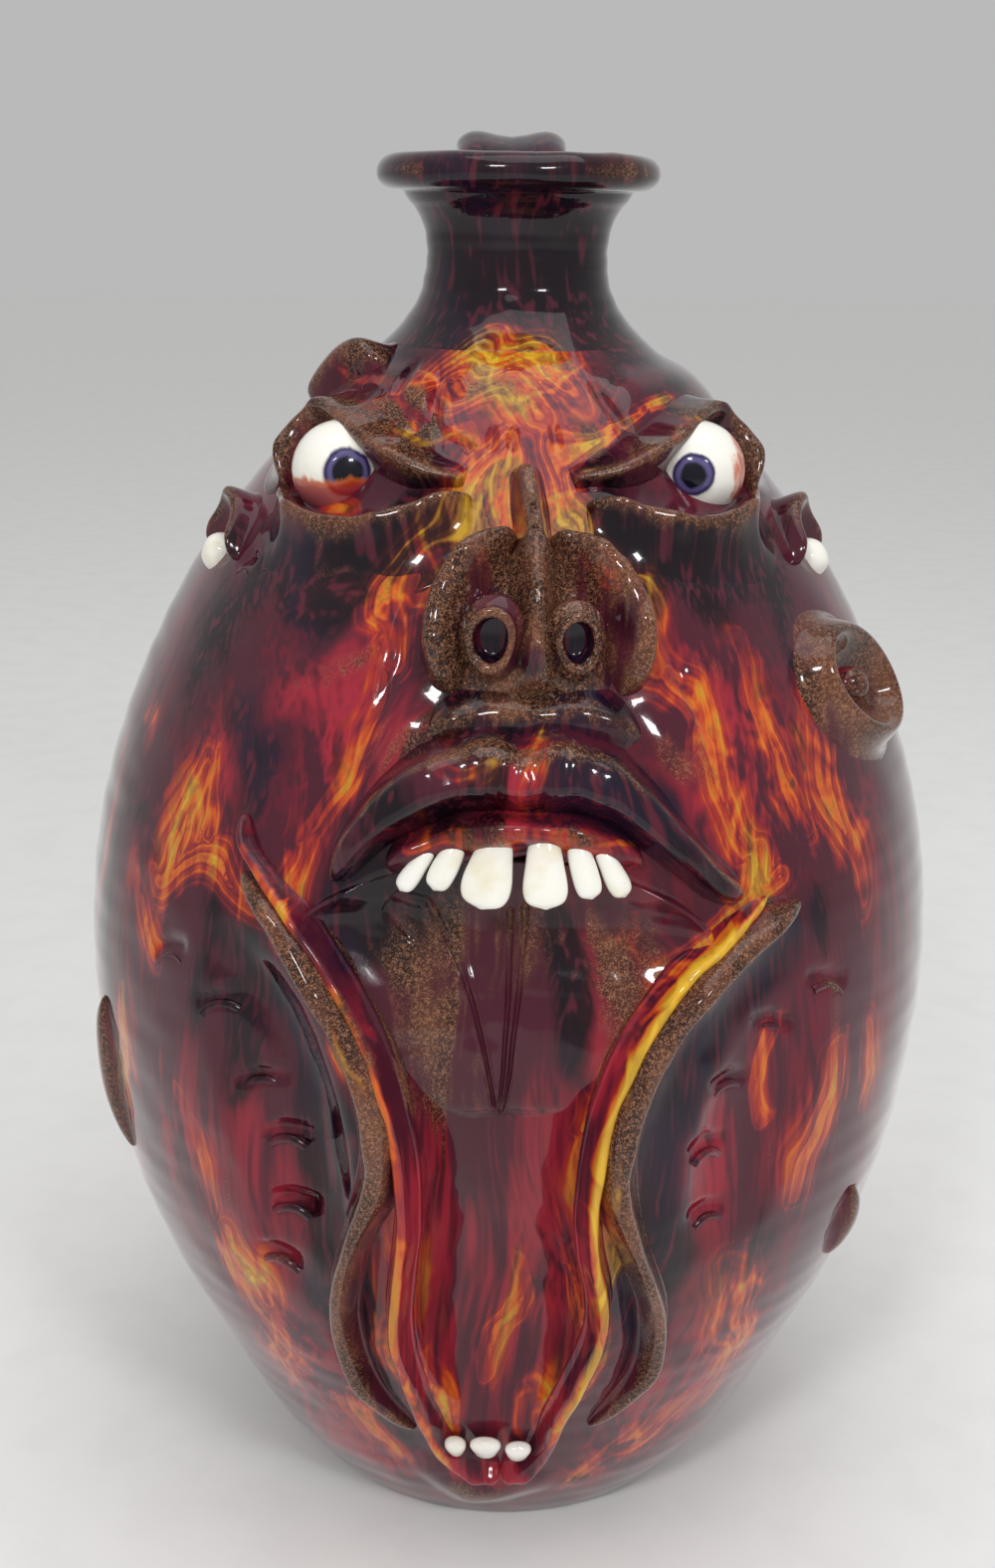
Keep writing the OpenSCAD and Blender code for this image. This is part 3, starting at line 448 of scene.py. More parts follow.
# Glaze runs, painted at every point: heat (red through orange to yellow), dark pools, bare brown clay, and crimson
RUNS = {kind: Marks() for kind in ("heat", "dark", "bare", "crimson")}
# Waves of the glaze's wander, [length, reach] in millimetres, and the degrees that it turns by at the middle line
WANDER_WAVES, WANDER_TURN = ((44, 3.6), (25, 1.5), (13, 0.4), (8, 0.12)), 45


def wandering(points, way):
    """Slow wander of the glaze over the clay, in millimetres."""
    out = np.zeros(len(points))
    for k, (size, reach) in enumerate(WANDER_WAVES):
        turn = np.array([math.sin(k * 2.1 + way), math.cos(k * 1.7 + way * 2), 0.45 * math.sin(k + way * 3)])
        bend = np.sin(points @ turn[[1, 2, 0]] * 2 * math.pi / (size * 1.9) + way + k)
        out += reach * np.sin(points @ turn * 2 * math.pi / size + 2.2 * bend + way * 4 + k)
    return out


def glaze(obj, points, crest, finish, blend=None, **shift):
    """Paints the runs that reach a piece, gives it its finish and puts it on the jug.

    finish is a material. shift makes a kind of run stronger or weaker, and blend changes them all.
    """
    angle, z = seats_of(points)
    angle = angle + wandering(points, 1.0) / np.maximum(np.hypot(points[:, 0], points[:, 1]), 20) * WANDER_TURN
    z = z + wandering(points, 2.0)
    runs = np.stack([np.clip(run.read(angle, z) + shift.get(kind, 0), 0, 1) for kind, run in RUNS.items()], axis=-1)
    mark_points(obj.data, "runs", blend(points, runs) if blend else runs)
    mark_points(obj.data, "across", RUNS["heat"].read(angle, z, RUNS["heat"].across))
    mark_points(obj.data, "crest", np.broadcast_to(crest, len(points)))
    obj.data.materials.clear()
    obj.data.materials.append(finish[0])
    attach(obj, "root")


def clay_piece(name, node, rings, crest, finish, closed=False, **paint):
    """A piece that stands for a node, from rings of points, with the crest given for each ring or point."""
    crest = np.asarray(crest, float)
    if crest.ndim == 1:
        crest = np.repeat(crest[:, None], rings.shape[1], axis=1)
    if closed:
        points, faces, marks = rings.reshape(-1, 3), [ring_faces(*rings.shape[:2], closed_along=True)], crest.ravel()
    else:
        points, faces = capped(rings)
        marks = np.concatenate([crest.ravel(), [crest[0, 0], crest[-1, 0]]])
    obj = clay_mesh(name, points, faces)
    glaze(obj, points, marks, finish, **paint)
    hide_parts(node)
    return obj


# Pieces along a line. A coil's flank ends where it has fallen to SKIRT of its height, and its back has a few points
SKIRT, FLANK_END, BACK_POINTS = 0.018, 4.0, 4
# Share by which the steps of an open coil close up at its ends
CLOSE_ENDS = 0.4


def coil_rings(route, width, stand, steps, over=(1.0, 4.0), under=None, sink=1.6, around=30,
               end=0.7, closed=False, uneven=0.05, septum=None, brown_side=None):
    """Rings of a coil of clay pressed on to the wall along [angle, height share, width share, stand-out share].

    over and under give how far each flank reaches, as a share of half the width, and how steeply it falls.
    Without under both flanks are alike.
    septum gives how deep the coil is hollowed beside a ridge down its middle, and the ridge's thickness.
    sink is how far the back lies under the wall, and end how many rows of the route the ends taper over.
    """
    under = under or over
    rows = np.asarray(route, float)
    last = len(rows) - 1
    if closed:
        rows = np.concatenate([rows[-1:], rows, rows[:2]])
        t = np.linspace(0, last + 1, steps, endpoint=False)
        p, q = smooth_route(rows, t + 1), smooth_route(rows, t + 1.1) - smooth_route(rows, t + 0.9)
        grow = np.ones(steps)
    else:
        t = last * (CLOSE_ENDS * (0.5 - 0.5 * np.cos(np.linspace(0, math.pi, steps)))
                    + (1 - CLOSE_ENDS) * np.linspace(0, 1, steps))
        p = smooth_route(rows, t)
        q = smooth_route(rows, np.minimum(t + 0.1, last)) - smooth_route(rows, np.maximum(t - 0.1, 0))
        x = np.clip(np.minimum(t, last - t) / end, 0, 1)
        grow = np.sqrt(np.clip(1 - (1 - x) ** 2, 0.0004, 1))
    z = p[:, 1] * BODY_H
    r = wall_r(z)
    stretch = np.hypot(1, wall_lean(z))
    run = np.stack([np.radians(q[:, 0]) * r, q[:, 1] * BODY_H * stretch], axis=1)
    run /= np.linalg.norm(run, axis=1, keepdims=True)
    far_under, far_over = (reach * FLANK_END ** (1 / power) for reach, power in (under, over))
    s = np.concatenate([-far_under * np.linspace(1, 0, around // 2, endpoint=False) ** 0.9,
                        far_over * np.linspace(0, 1, around // 2 + 1) ** 0.9])
    reach, power = (np.where(s < 0, below, above) for below, above in zip(under, over))
    height = np.exp(-np.abs(s / reach) ** power) - SKIRT
    half = (width / 2 * p[:, 2] * grow)[:, None]
    up = (stand * p[:, 3] * grow)[:, None]
    if uneven:
        beat = np.sin(t * 2.3 + 1) + np.sin(t * 3.7 + 4) * 0.7 + np.sin(t * 6.1 + 2) * 0.4
        up = up * (1 + uneven * beat[:, None])
        half = half * (1 - uneven * 0.6 * np.roll(beat, 5)[:, None])
    side = s[None] * half
    lift = up * height[None]
    if septum:
        deep, thick = septum
        lift = lift * (1 - deep * soft_step(t / last, 0.3, 0.55)[:, None] * (1 - np.exp(-(side / thick) ** 2)))
    # The back is sunk in the wall, so that no gap shows beside the coil
    back = np.linspace(far_over, -far_under, BACK_POINTS + 2)[1:-1][None] * half * 0.9
    side = np.concatenate([side, back], axis=1)
    lift = np.concatenate([lift, np.full((steps, BACK_POINTS), -sink)], axis=1)
    lift[:, 0] = lift[:, around] = -sink * 0.6
    angle = p[:, :1] - np.degrees(run[:, 1:] * side / r[:, None])
    rings = on_wall(angle, z[:, None] + run[:, :1] * side / stretch[:, None], lift)
    # The glaze runs thin and brown along the crest, or along a line beside it
    brown = np.clip(height, 0, 1) ** 2 if brown_side is None else np.exp(-((s - brown_side) / 0.4) ** 2)
    return rings, np.tile(np.concatenate([brown, np.zeros(BACK_POINTS)]), (steps, 1))


def coil(node, finish, route, width, stand, steps, dent=None, suffix="coil", closed=False, paint=None, **section):
    """A coil of clay that stands for a node. dent moves its points, and paint goes to its glaze."""
    rings, crest = coil_rings(route, width, stand, steps, closed=closed, **section)
    if dent:
        rings = dent(rings)
    return clay_piece(f"{node}_{suffix}", node, rings, crest, finish, closed=closed, **(paint or {}))


def placed(rings, origin, axis):
    """Rings made round +Z, put at origin with +Z along axis."""
    z = np.asarray(axis, float) / np.linalg.norm(axis)
    x = np.cross((0, 0, 1), z)
    x /= np.linalg.norm(x)
    y = np.cross(z, x)
    return rings @ np.stack([x, y, z]) + origin


# Neck and handle
# The neck's foot on the shoulder, as height over the seat and depth under the wall, and its inside, as radius,
# height and crest
NECK_FOOT = ((-3.6, 1.6), (-2.4, 0.5), (-1.4, 0.05), (-0.5, -0.06))
NECK_BORE = [[27, TOP_Z - 1.9, 0.35], [23.5, TOP_Z - 4.2, 0.2], [20, TOP_Z - 7.2, 0.1], [17.6, TOP_Z - 10, 0],
             [BORE_D / 2, TOP_Z - 14, 0], [BORE_D / 2, TOP_Z - 24, 0], [BORE_D / 2, BODY_H + 15, 0],
             [18.2, BODY_H + 8, 0], [20.5, BODY_H, 0], [20.5, BODY_H - 3, 0]]


def neck_outline():
    """[radius, height, crest] from the seat up the outside, over the rolled lip and down the bore."""
    roll = LIP_ROLL_D / 2
    out = [[float(wall_r(BODY_H + h)) - sunk, BODY_H + h, 0] for h, sunk in NECK_FOOT]
    for s in np.linspace(0.01, 0.72, 44):
        flare = (SEAT_D if s < 0.44 else LIP_D) - WAIST_D
        ring = 0.07 * math.sin(s * 62) * soft_step(s, 0.05, 0.2) * (1 - soft_step(s, 0.55, 0.7))
        out.append([(WAIST_D + float(smooth_curve(NECK_FLARE, s)) * flare) / 2 + ring, BODY_H + s * NECK_H, 0])
    cr, cz = LIP_D / 2 - roll, TOP_Z - roll
    # A soft hollow leads from the flare under the roll
    r0, z0 = out[-1][:2]
    under = -0.62 * math.pi
    r1, z1 = cr + roll * math.cos(under), cz + roll * 0.92 * math.sin(under)
    out += [[r0 + (r1 - r0) * k ** 0.8, z0 + (z1 - z0) * k ** 1.1, 0.1] for k in np.linspace(0.2, 0.85, 6)]
    for a in np.linspace(-0.56, 0.62, 34) * math.pi:
        out.append([cr + roll * math.cos(a), cz + roll * math.sin(a) * (0.94 if a < 0 else 1),
                    float(np.exp(-((a - 0.05) / 0.75) ** 2))])
    return np.array(out + NECK_BORE)


def neck_runs(points, runs):
    """The neck's own glaze: red where it meets the body, near black above, and worn red on the lip."""
    z = points[:, 2]
    top = soft_step(z, TOP_Z - 9.5, TOP_Z - 5)
    base = 1 - soft_step(z, BODY_H + 3, BODY_H + 16)
    runs[:, 0] = np.maximum(runs[:, 0] * base, top * 0.44)
    runs[:, 1] = np.maximum(runs[:, 1], 1 - base) * (1 - 0.6 * top)
    runs[:, 3] = np.maximum(top * 0.7, 0.75 * (1 - soft_step(z, BODY_H - 4, BODY_H + 20)))
    return runs


def make_neck(finish):
    outline = neck_outline()
    rings = turned_rings(outline[:, :2], 132)
    middle = rings * [1, 1, 0]
    away = middle / np.maximum(np.linalg.norm(middle, axis=-1, keepdims=True), 1e-6)
    still = soft_step(rings[..., 2], BODY_H, BODY_H + 14)
    lip = soft_step(rings[..., 2], TOP_Z - 9, TOP_Z - 4)
    rings = rings + away * (unevenness(rings, 0.2) * still)[..., None]
    rings[..., 2] -= np.abs(unevenness(rings * [1, 1, 0.2], 0.22)) * lip
    clay_piece("neck_and_lip", "neck", rings, outline[:, 2], finish, closed=True, blend=neck_runs)


# Middle line of the strap, as shares of its reach and of its height over the shoulder. Its section is squarish,
# with two ridges in front, and it is thicker and wider where it leaves the neck and wider where it lands
STRAP_STEPS, STRAP_AROUND, STRAP_SQUARE, STRAP_FLAT = 110, 56, 0.62, 0.8
STRAP_ROOT_END, STRAP_FOOT_START = 0.12, 0.84
ROOT_THICKER, ROOT_WIDER, FOOT_THINNER, FOOT_WIDER = 0.35, 0.12, 0.18, 0.34
STRAP_ROUTE = [[-0.13, 0.755], [0.1, 0.835], [0.24, 0.905], [0.38, 0.955], [0.54, 0.967], [0.71, 0.912],
               [0.86, 0.797], [0.96, 0.63], [1.0, 0.435], [0.985, 0.268], [0.925, 0.116], [0.83, 0.007],
               [0.75, -0.06]]


def make_handle(finish):
    """Pulled strap with two broad ridges, blended on to the shoulder with a thumb's sweep."""
    last = len(STRAP_ROUTE) - 1
    t = np.linspace(0, last, STRAP_STEPS)
    p = smooth_route(STRAP_ROUTE, t)
    y0, z1 = WAIST_D / 2, TOP_Z + STRAP_RISE
    line = np.stack([y0 + p[:, 0] * (STRAP_REACH - y0), STRAP_FOOT_Z + p[:, 1] * (z1 - STRAP_FOOT_Z)], axis=1)
    way = np.gradient(line, axis=0)
    way /= np.linalg.norm(way, axis=1, keepdims=True)
    foot = soft_step(t / last, STRAP_FOOT_START, 1.0)
    root = 1 - soft_step(t / last, 0.0, STRAP_ROOT_END)
    spread = 1 + 0.16 * (2 * t / last - 1) ** 4 + FOOT_WIDER * foot + ROOT_WIDER * root
    w = full_turn(STRAP_AROUND)
    x, y = signed_power(np.cos(w), STRAP_SQUARE), signed_power(np.sin(w), STRAP_FLAT)
    ridge = 0.5 - 0.19 * np.cos(np.abs(x) * math.pi * 1.25) * (y > 0)
    top = np.where(y > 0, y * (0.72 * ridge + 0.17), y * 0.42)
    # The hand that pulled it left it a little uneven
    thick = STRAP_T * (1 + ROOT_THICKER * root - FOOT_THINNER * foot)
    thick = thick * (1 + 0.035 * np.sin(t * 2.1) + 0.025 * np.sin(t * 5.3 + 1))
    out = top[None] * thick[:, None]
    across = x[None] * (STRAP_W / 2 * spread * (1 + 0.02 * np.sin(t * 3.1 + 2)))[:, None]
    rings = np.stack([across, line[:, :1] - way[:, 1:] * out, line[:, 1:] + way[:, :1] * out], axis=-1)
    crest = soft_step(top, 0.28, 0.42)[None] * np.ones((STRAP_STEPS, 1))
    clay_piece("strap_handle", "handle", rings, crest, finish, heat=0.3, dark=0.35, crimson=0.3)


# Mouth
UPPER_LIP = [[-22.9, 0.646, 0.25, 0.35], [-20, 0.674, 0.48, 0.7], [-16.2, 0.698, 0.66, 0.9],
             [-10.9, 0.7175, 0.88, 1], [-5.8, 0.7257, 1, 1], [-3, 0.7255, 0.95, 0.95], [-0.8, 0.7225, 0.84, 0.82],
             [1.6, 0.7255, 0.96, 0.95], [4.2, 0.7257, 1, 1], [8.3, 0.7197, 0.9, 1], [13, 0.7024, 0.68, 0.9],
             [17.7, 0.6745, 0.52, 0.75], [22.6, 0.647, 0.44, 0.55], [26.6, 0.6325, 0.25, 0.3]]
UPPER_GUM = [[-16.5, 0.660, 0.45, 0.5], [-13.5, 0.672, 0.8, 0.75], [-8, 0.684, 0.95, 1], [-1.6, 0.6885, 1, 1],
             [5.4, 0.686, 0.95, 1], [11, 0.6745, 0.85, 0.8], [14, 0.664, 0.45, 0.5]]
TOOTH_W, TOOTH_L, TOOTH_T, LOW_TOOTH_W, LOW_TOOTH_L = 10.6, 14.0, 4.5, 8.0, 8.5
GUM_REACH, ROOT_IN_GUM, TOOTH_STEPS, TOOTH_AROUND = 5.0, 2.4, 30, 32
# Angle of the root, shares of the widest width and of the longest length, and fan of the tip
UPPER_TEETH = [[-10.8, 0.44, 0.58, -3.4], [-7.6, 0.58, 0.66, -2.8], [-3.2, 1.04, 1, -1.8], [2.1, 0.94, 1, 0.1],
               [5.7, 0.6, 0.8, 1.7], [8.5, 0.5, 0.68, 2.7]]
# Angle and height of the root, and the same two shares
LOWER_TEETH = [[-9.3, 0.131, 0.7, 0.9], [-4.4, 0.131, 1, 1], [0.9, 0.128, 0.87, 0.85]]
# A tooth's breadth and depth along its length, as shares of the widest
PETAL_BREADTH = [[0, 0.55], [0.2, 0.78], [0.45, 0.94], [0.68, 1.02], [0.84, 0.96], [0.94, 0.7], [1, 0.05]]
PETAL_DEPTH = [[0, 0.75], [0.2, 0.95], [0.45, 1], [0.68, 0.98], [0.85, 0.82], [0.95, 0.55], [1, 0.04]]


def petal(node, finish, root, tip, width, root_lift, tip_lift):
    """A tooth pinched from a pellet of white clay: narrow at its root, broad and rounded at its tip."""
    a, b = on_wall(*root, root_lift), on_wall(*tip, tip_lift)
    run = (b - a) / np.linalg.norm(b - a)
    front = on_wall(*root, root_lift + WALL) - a
    side = np.cross(run, front / np.linalg.norm(front))
    side /= np.linalg.norm(side)
    out = np.cross(side, run)
    s = 0.5 - 0.5 * np.cos(np.linspace(0.04, math.pi - 0.02, TOOTH_STEPS))
    broad = width / 2 * smooth_curve(PETAL_BREADTH, s) * (1 + 0.03 * np.sin(s * 7 + root[0]))
    deep = TOOTH_T / 2 * smooth_curve(PETAL_DEPTH, s)
    w = full_turn(TOOTH_AROUND)
    x, y = np.cos(w), signed_power(np.sin(w), 0.85)
    rings = (a + (b - a) * s[:, None, None] + side * (x[None] * broad[:, None])[..., None]
             + out * (y[None] * deep[:, None])[..., None])
    clay_piece(f"{node}_glazed", node, rings, s * 0, finish)


def make_teeth(finish):
    gum = [[g[0], g[1]] for g in UPPER_GUM]
    for k, (angle, wide, long, fan) in enumerate(UPPER_TEETH, 1):
        top = float(smooth_curve(gum, angle)) * BODY_H - GUM_REACH / 2
        petal(f"upper_tooth_{k}", finish, (angle, top + ROOT_IN_GUM), (angle + fan, top - TOOTH_L * long),
              TOOTH_W * wide, TOOTH_T / 2, TOOTH_T / 2 + 1.75)
    for k, (angle, root, wide, long) in enumerate(LOWER_TEETH, 1):
        low = root * BODY_H
        petal(f"lower_tooth_{k}", finish, (angle, low), (angle, low + LOW_TOOTH_L * long), LOW_TOOTH_W * wide,
              TOOTH_T / 2 - 0.5, TOOTH_T / 2 + 1.2)


# The tongue: half its width in degrees round the hollow and its thickness, both along its length from the root,
# and the lines carved in it, as [places across and along it], depth and width
TONGUE_ROOT, TONGUE_TIP, TONGUE_HALF, TONGUE_T, TONGUE_W, TONGUE_L = 0.975, 0.6, 54, 19, 45, 62
TONGUE_ROWS, TONGUE_COLUMNS, TONGUE_EDGE, TONGUE_BACK = 120, 150, 0.8, 2.0
TONGUE_BREADTH = [[0, 0.5], [0.06, 0.8], [0.14, 1], [0.3, 1.12], [0.55, 1.12], [0.75, 1.0], [0.9, 0.8], [1, 0.5]]
TONGUE_DEPTH = [[0, 0.12], [0.07, 0.42], [0.16, 0.8], [0.28, 1], [0.5, 0.72], [0.75, 0.42], [0.92, 0.2], [1, 0]]
CARVED = [([[0.04, 0.22], [0.05, 0.5], [0.02, 0.75], [-0.03, 0.93]], 1.0, 0.8),
          ([[0.14, 0.2], [0.15, 0.5], [0.11, 0.75], [0.0, 0.95]], 1.0, 0.8),
          ([[-0.62, 0.3], [-0.72, 0.2], [-0.66, 0.12], [-0.5, 0.16], [-0.36, 0.36], [-0.24, 0.62], [-0.1, 0.9]],
           1.1, 0.8)]


def make_tongue(finish):
    """Slab that lines the top of the hollow, with a carved loop and a double line down its middle."""
    t = np.linspace(0, 1, TONGUE_ROWS)[:, None]
    c = np.linspace(-1, 1, TONGUE_COLUMNS)[None]
    s = TONGUE_ROOT + t * (TONGUE_TIP - TONGUE_ROOT)
    broad = smooth_curve(TONGUE_BREADTH, t)
    half = np.radians(broad * TONGUE_HALF)
    shape = (1 - np.abs(c) ** 2.6) ** 1.1
    lift = shape * (smooth_curve(TONGUE_DEPTH, t) * TONGUE_T + TONGUE_EDGE) - TONGUE_EDGE
    for places, deep, wide in CARVED:
        gone = off_line(-c * broad * TONGUE_W, t * TONGUE_L, np.array(places) * [TONGUE_W, TONGUE_L])[0]
        # A groove with a low burr beside it
        lift = lift - deep * np.exp(-(gone / wide) ** 2) * shape
        lift = lift + 0.35 * deep * np.exp(-((gone - 2.2 * wide) / wide) ** 2) * shape
    face = in_mouth(-c * half, s, lift)
    face[..., 1] -= unevenness(face, 0.5)
    back = in_mouth(-c[:, ::-1] * half, s, -TONGUE_BACK)
    crest = np.concatenate([np.clip(lift / 9, 0, 1) * 0.5, np.zeros_like(lift)], axis=1)
    clay_piece("tongue_slab", "tongue", np.concatenate([face, back], axis=1), crest, finish, bare=-0.02)


# The folds outside the mouth's edge, and the rims along it
LEFT_FOLD = [[-38.2, 0.64, 0.4, 0.35], [-32.7, 0.621, 0.85, 0.8], [-28.6, 0.6, 1, 0.95], [-24.1, 0.569, 1, 1],
             [-20.9, 0.539, 1, 1], [-18.4, 0.508, 1, 1], [-17.5, 0.471, 1, 1], [-18, 0.429, 1, 1],
             [-19.3, 0.384, 1, 0.95], [-21.4, 0.337, 1, 0.9], [-23, 0.286, 1, 0.8], [-22.6, 0.227, 0.95, 0.7],
             [-20, 0.18, 0.8, 0.5], [-16.2, 0.149, 0.4, 0.25]]
RIGHT_FOLD = [[36.3, 0.6212, 0.45, 0.4], [31.5, 0.6106, 0.9, 0.85], [26, 0.592, 1, 0.95], [20.8, 0.5705, 1, 1],
              [16.5, 0.5395, 1, 1], [13.9, 0.508, 1, 1], [12.3, 0.471, 1, 1], [12, 0.43, 1, 1],
              [12.8, 0.392, 1, 0.95], [14.8, 0.35, 1, 0.9], [17.5, 0.304, 1, 0.8], [18.7, 0.246, 0.95, 0.7],
              [16.6, 0.199, 0.8, 0.5], [12.4, 0.157, 0.4, 0.25]]
LEFT_RIM = [[-36.8, 0.68, 0.45, 0.45], [-35.2, 0.66, 0.8, 0.7], [-31.4, 0.6405, 0.95, 0.85], [-25.8, 0.6125, 1, 1],
            [-21, 0.577, 1, 1], [-17.7, 0.544, 1, 1], [-15.5, 0.509, 1, 1], [-14, 0.469, 1, 1],
            [-13.3, 0.429, 1, 1], [-13.4, 0.3865, 1, 1], [-14.4, 0.341, 1, 0.95], [-15.4, 0.291, 1, 0.9],
            [-15, 0.239, 1, 0.85], [-14, 0.195, 1, 0.8], [-12.6, 0.155, 1, 0.8], [-10.6, 0.124, 1, 0.8],
            [-7.6, 0.107, 1, 0.8], [-4.6, 0.1, 0.95, 0.75], [-1.9, 0.0985, 0.8, 0.7]]
RIGHT_RIM = [[30.5, 0.6290, 0.3, 0.15], [27.8, 0.6210, 0.6, 0.5], [24.6, 0.6105, 0.85, 0.8],
             [21.2, 0.598, 0.95, 0.9], [17.7, 0.583, 1, 1], [13.9, 0.5535, 1, 1], [11.1, 0.522, 1, 1],
             [9.3, 0.489, 1, 1], [8.3, 0.449, 1, 1], [7.9, 0.4076, 1, 1], [8.5, 0.3677, 1, 1],
             [10, 0.325, 1, 0.95], [10.2, 0.28, 1, 0.9], [8.6, 0.233, 1, 0.85], [6.6, 0.185, 1, 0.8],
             [5.3, 0.14, 1, 0.8], [3.2, 0.113, 1, 0.8], [0.6, 0.1015, 0.95, 0.75], [-1.9, 0.099, 0.8, 0.7]]
# Share of the body's height where a fold leaves its rim
SPLIT = 0.40


def drawn_together(fold, rim):
    """The fold's rows with its upper part drawn over to the rim, where both are one thick roll."""
    rows = np.array(fold, float)
    r = np.array(rim, float)[::-1]
    order = np.argsort(r[:, 1])
    beside = np.interp(rows[:, 1], r[order, 1], r[order, 0])
    share = soft_step(rows[:, 1], SPLIT - 0.04, SPLIT + 0.06)
    share = share * (1 - soft_step(np.abs(beside - rows[:, 0]), 5.5, 10))
    rows[:, 0] += (beside - rows[:, 0]) * 0.46 * share
    rows[:, 2] *= 1 + 0.62 * share
    rows[:, 3] *= 1 + 0.12 * share
    return rows


# Eyes: centre of each ball, and the way its iris looks
EYES = {"left": ([-44.95, -43.4, 300.33], [0.19, -0.978, 0.089]),
        "right": ([44.26, -43.34, 300.99], [-0.164, -0.985, 0.051])}
LEFT_UPPER_LID = [[-12.5, 0.9085, 0.35, 0.3], [-14.5, 0.9092, 0.5, 0.45], [-21.5, 0.9114, 0.8, 0.7],
                  [-29.5, 0.9175, 0.95, 0.9], [-37.8, 0.9265, 1, 1], [-47.7, 0.937, 1, 1], [-57, 0.941, 1, 1],
                  [-61.5, 0.93, 1, 1], [-61, 0.91, 0.9, 0.95], [-57.5, 0.893, 0.5, 0.6]]
LEFT_LOWER_LID = [[-10.5, 0.9, 0.4, 0.4], [-16, 0.8915, 0.75, 0.8], [-21.6, 0.8814, 0.95, 0.9],
                  [-27.2, 0.8731, 1, 0.9], [-33.7, 0.8695, 1, 0.95], [-40, 0.87, 1, 0.95],
                  [-46.3, 0.8745, 0.95, 0.9], [-52, 0.8825, 0.7, 0.7], [-56, 0.889, 0.5, 0.5]]
RIGHT_UPPER_LID = [[10.8, 0.9092, 0.35, 0.3], [12.6, 0.9099, 0.5, 0.45], [20.6, 0.9122, 0.8, 0.7],
                   [29.2, 0.919, 0.95, 0.9], [37.8, 0.928, 1, 1], [47.3, 0.938, 1, 1], [56.5, 0.941, 1, 1],
                   [61.6, 0.9285, 1, 1], [61, 0.909, 0.9, 0.95], [57.5, 0.892, 0.5, 0.6]]
RIGHT_LOWER_LID = [[12.6, 0.8955, 0.4, 0.4], [18, 0.889, 0.75, 0.8], [23, 0.8815, 0.95, 0.9],
                   [28.1, 0.875, 1, 0.9], [33.7, 0.8712, 1, 0.95], [40.2, 0.8725, 1, 0.95],
                   [46.9, 0.8775, 0.95, 0.9], [52, 0.8845, 0.7, 0.7], [56, 0.890, 0.5, 0.5]]


def make_eye(side, finish):
    centre, gaze = EYES[side]
    polar = np.concatenate([np.linspace(0.02, 0.7, 40), np.linspace(0.7, math.pi - 0.03, 44)[1:]])
    r = EYE_D / 2 * (1 - 0.012 * soft_step(polar, 0.36, 0.5) * (1 - soft_step(polar, 0.5, 0.7)))
    rings = ball_rings(r, polar, 80, centre, gaze)
    obj = clay_piece(f"{side}_eyeball_glazed", f"{side}_eyeball", rings, polar * 0, finish)
    away = (capped(rings)[0] - centre) / (EYE_D / 2)
    mark_points(obj.data, "from_pupil", np.arccos(np.clip(away @ np.array(gaze), -1, 1)))
    low = soft_step(-away[:, 2], -0.3, 0.5) if side == "left" else soft_step(away[:, 0], 0.35, 0.8) * 0.5
    mark_points(obj.data, "eye_run", low)


def ball_rings(r, polar, around, centre, axis):
    """Rings of a ball of radius r, at angles polar from its pole, which looks along axis."""
    return placed(turned_rings(np.stack([r * np.sin(polar), r * np.cos(polar)], axis=1), around), centre, axis)


def clear_of_ball(side):
    centre = np.array(EYES[side][0])

    def push(rings):
        v = rings - centre
        gone = np.linalg.norm(v, axis=-1, keepdims=True)
        near = EYE_D / 2 - LID_BITE
        return np.where(gone < near, centre + v / gone * near, rings)
    return push


LID_W, LID_OUT = 6.5, 9


def make_lids(side, finish, upper, lower):
    """Lids whose long flank falls away from the ball, and whose steep one faces it."""
    away, facing = (2.1, 1.35), (0.9, 3.6)
    for name, route, steps, rises in (("upper", upper, 120, side == "right"), ("lower", lower, 110, side == "left")):
        over, under = (away, facing) if rises else (facing, away)
        coil(f"{side}_{name}_lid", finish, route, LID_W, LID_OUT, steps, over=over, under=under,
             dent=clear_of_ball(side), around=40, paint={"bare": 0.27, "dark": -0.05})


# Nose
NOSE_W, NOSE_T = 37.0, 16.0
NOSE = [[0.2, 0.922, 0.12, 0.15], [0.6, 0.913, 0.16, 0.32], [1.1, 0.896, 0.18, 0.42], [1.5, 0.8796, 0.19, 0.58],
        [1.5, 0.864, 0.26, 0.8], [1.4, 0.849, 0.55, 0.92], [1.4, 0.833, 0.82, 0.97], [1.35, 0.815, 0.96, 1],
        [1.3, 0.797, 1, 0.95], [1.3, 0.783, 0.96, 0.74], [1.3, 0.771, 0.82, 0.4]]
LEFT_WING = [[-1.0, 0.8690, 0.4, 0.5], [-3.2, 0.8690, 0.7, 0.72], [-6, 0.8645, 0.9, 0.9], [-9.3, 0.8535, 1, 1],
             [-11.6, 0.8385, 1, 1], [-12.5, 0.8200, 1, 1], [-12.4, 0.8020, 1, 0.92], [-11.4, 0.7862, 0.8, 0.7],
             [-9.8, 0.7760, 0.4, 0.35]]
RIGHT_WING = [[4.0, 0.8690, 0.4, 0.5], [6.3, 0.8672, 0.7, 0.72], [8.9, 0.8625, 0.9, 0.9], [11.6, 0.8550, 1, 1],
              [14.0, 0.8450, 1, 1], [15.5, 0.8310, 1, 1], [16.2, 0.8129, 1, 1], [16.0, 0.7962, 1, 0.92],
              [14.8, 0.7830, 0.8, 0.7], [13.0, 0.7745, 0.4, 0.35]]
UNDER_NOSE = [[-13.2, 0.748, 0.4, 0.4], [-9.5, 0.757, 0.85, 0.9], [-4, 0.7625, 1, 1], [1.4, 0.7615, 0.9, 0.85],
              [6.6, 0.7625, 1, 1], [11.6, 0.756, 0.85, 0.9], [15.6, 0.746, 0.4, 0.4]]
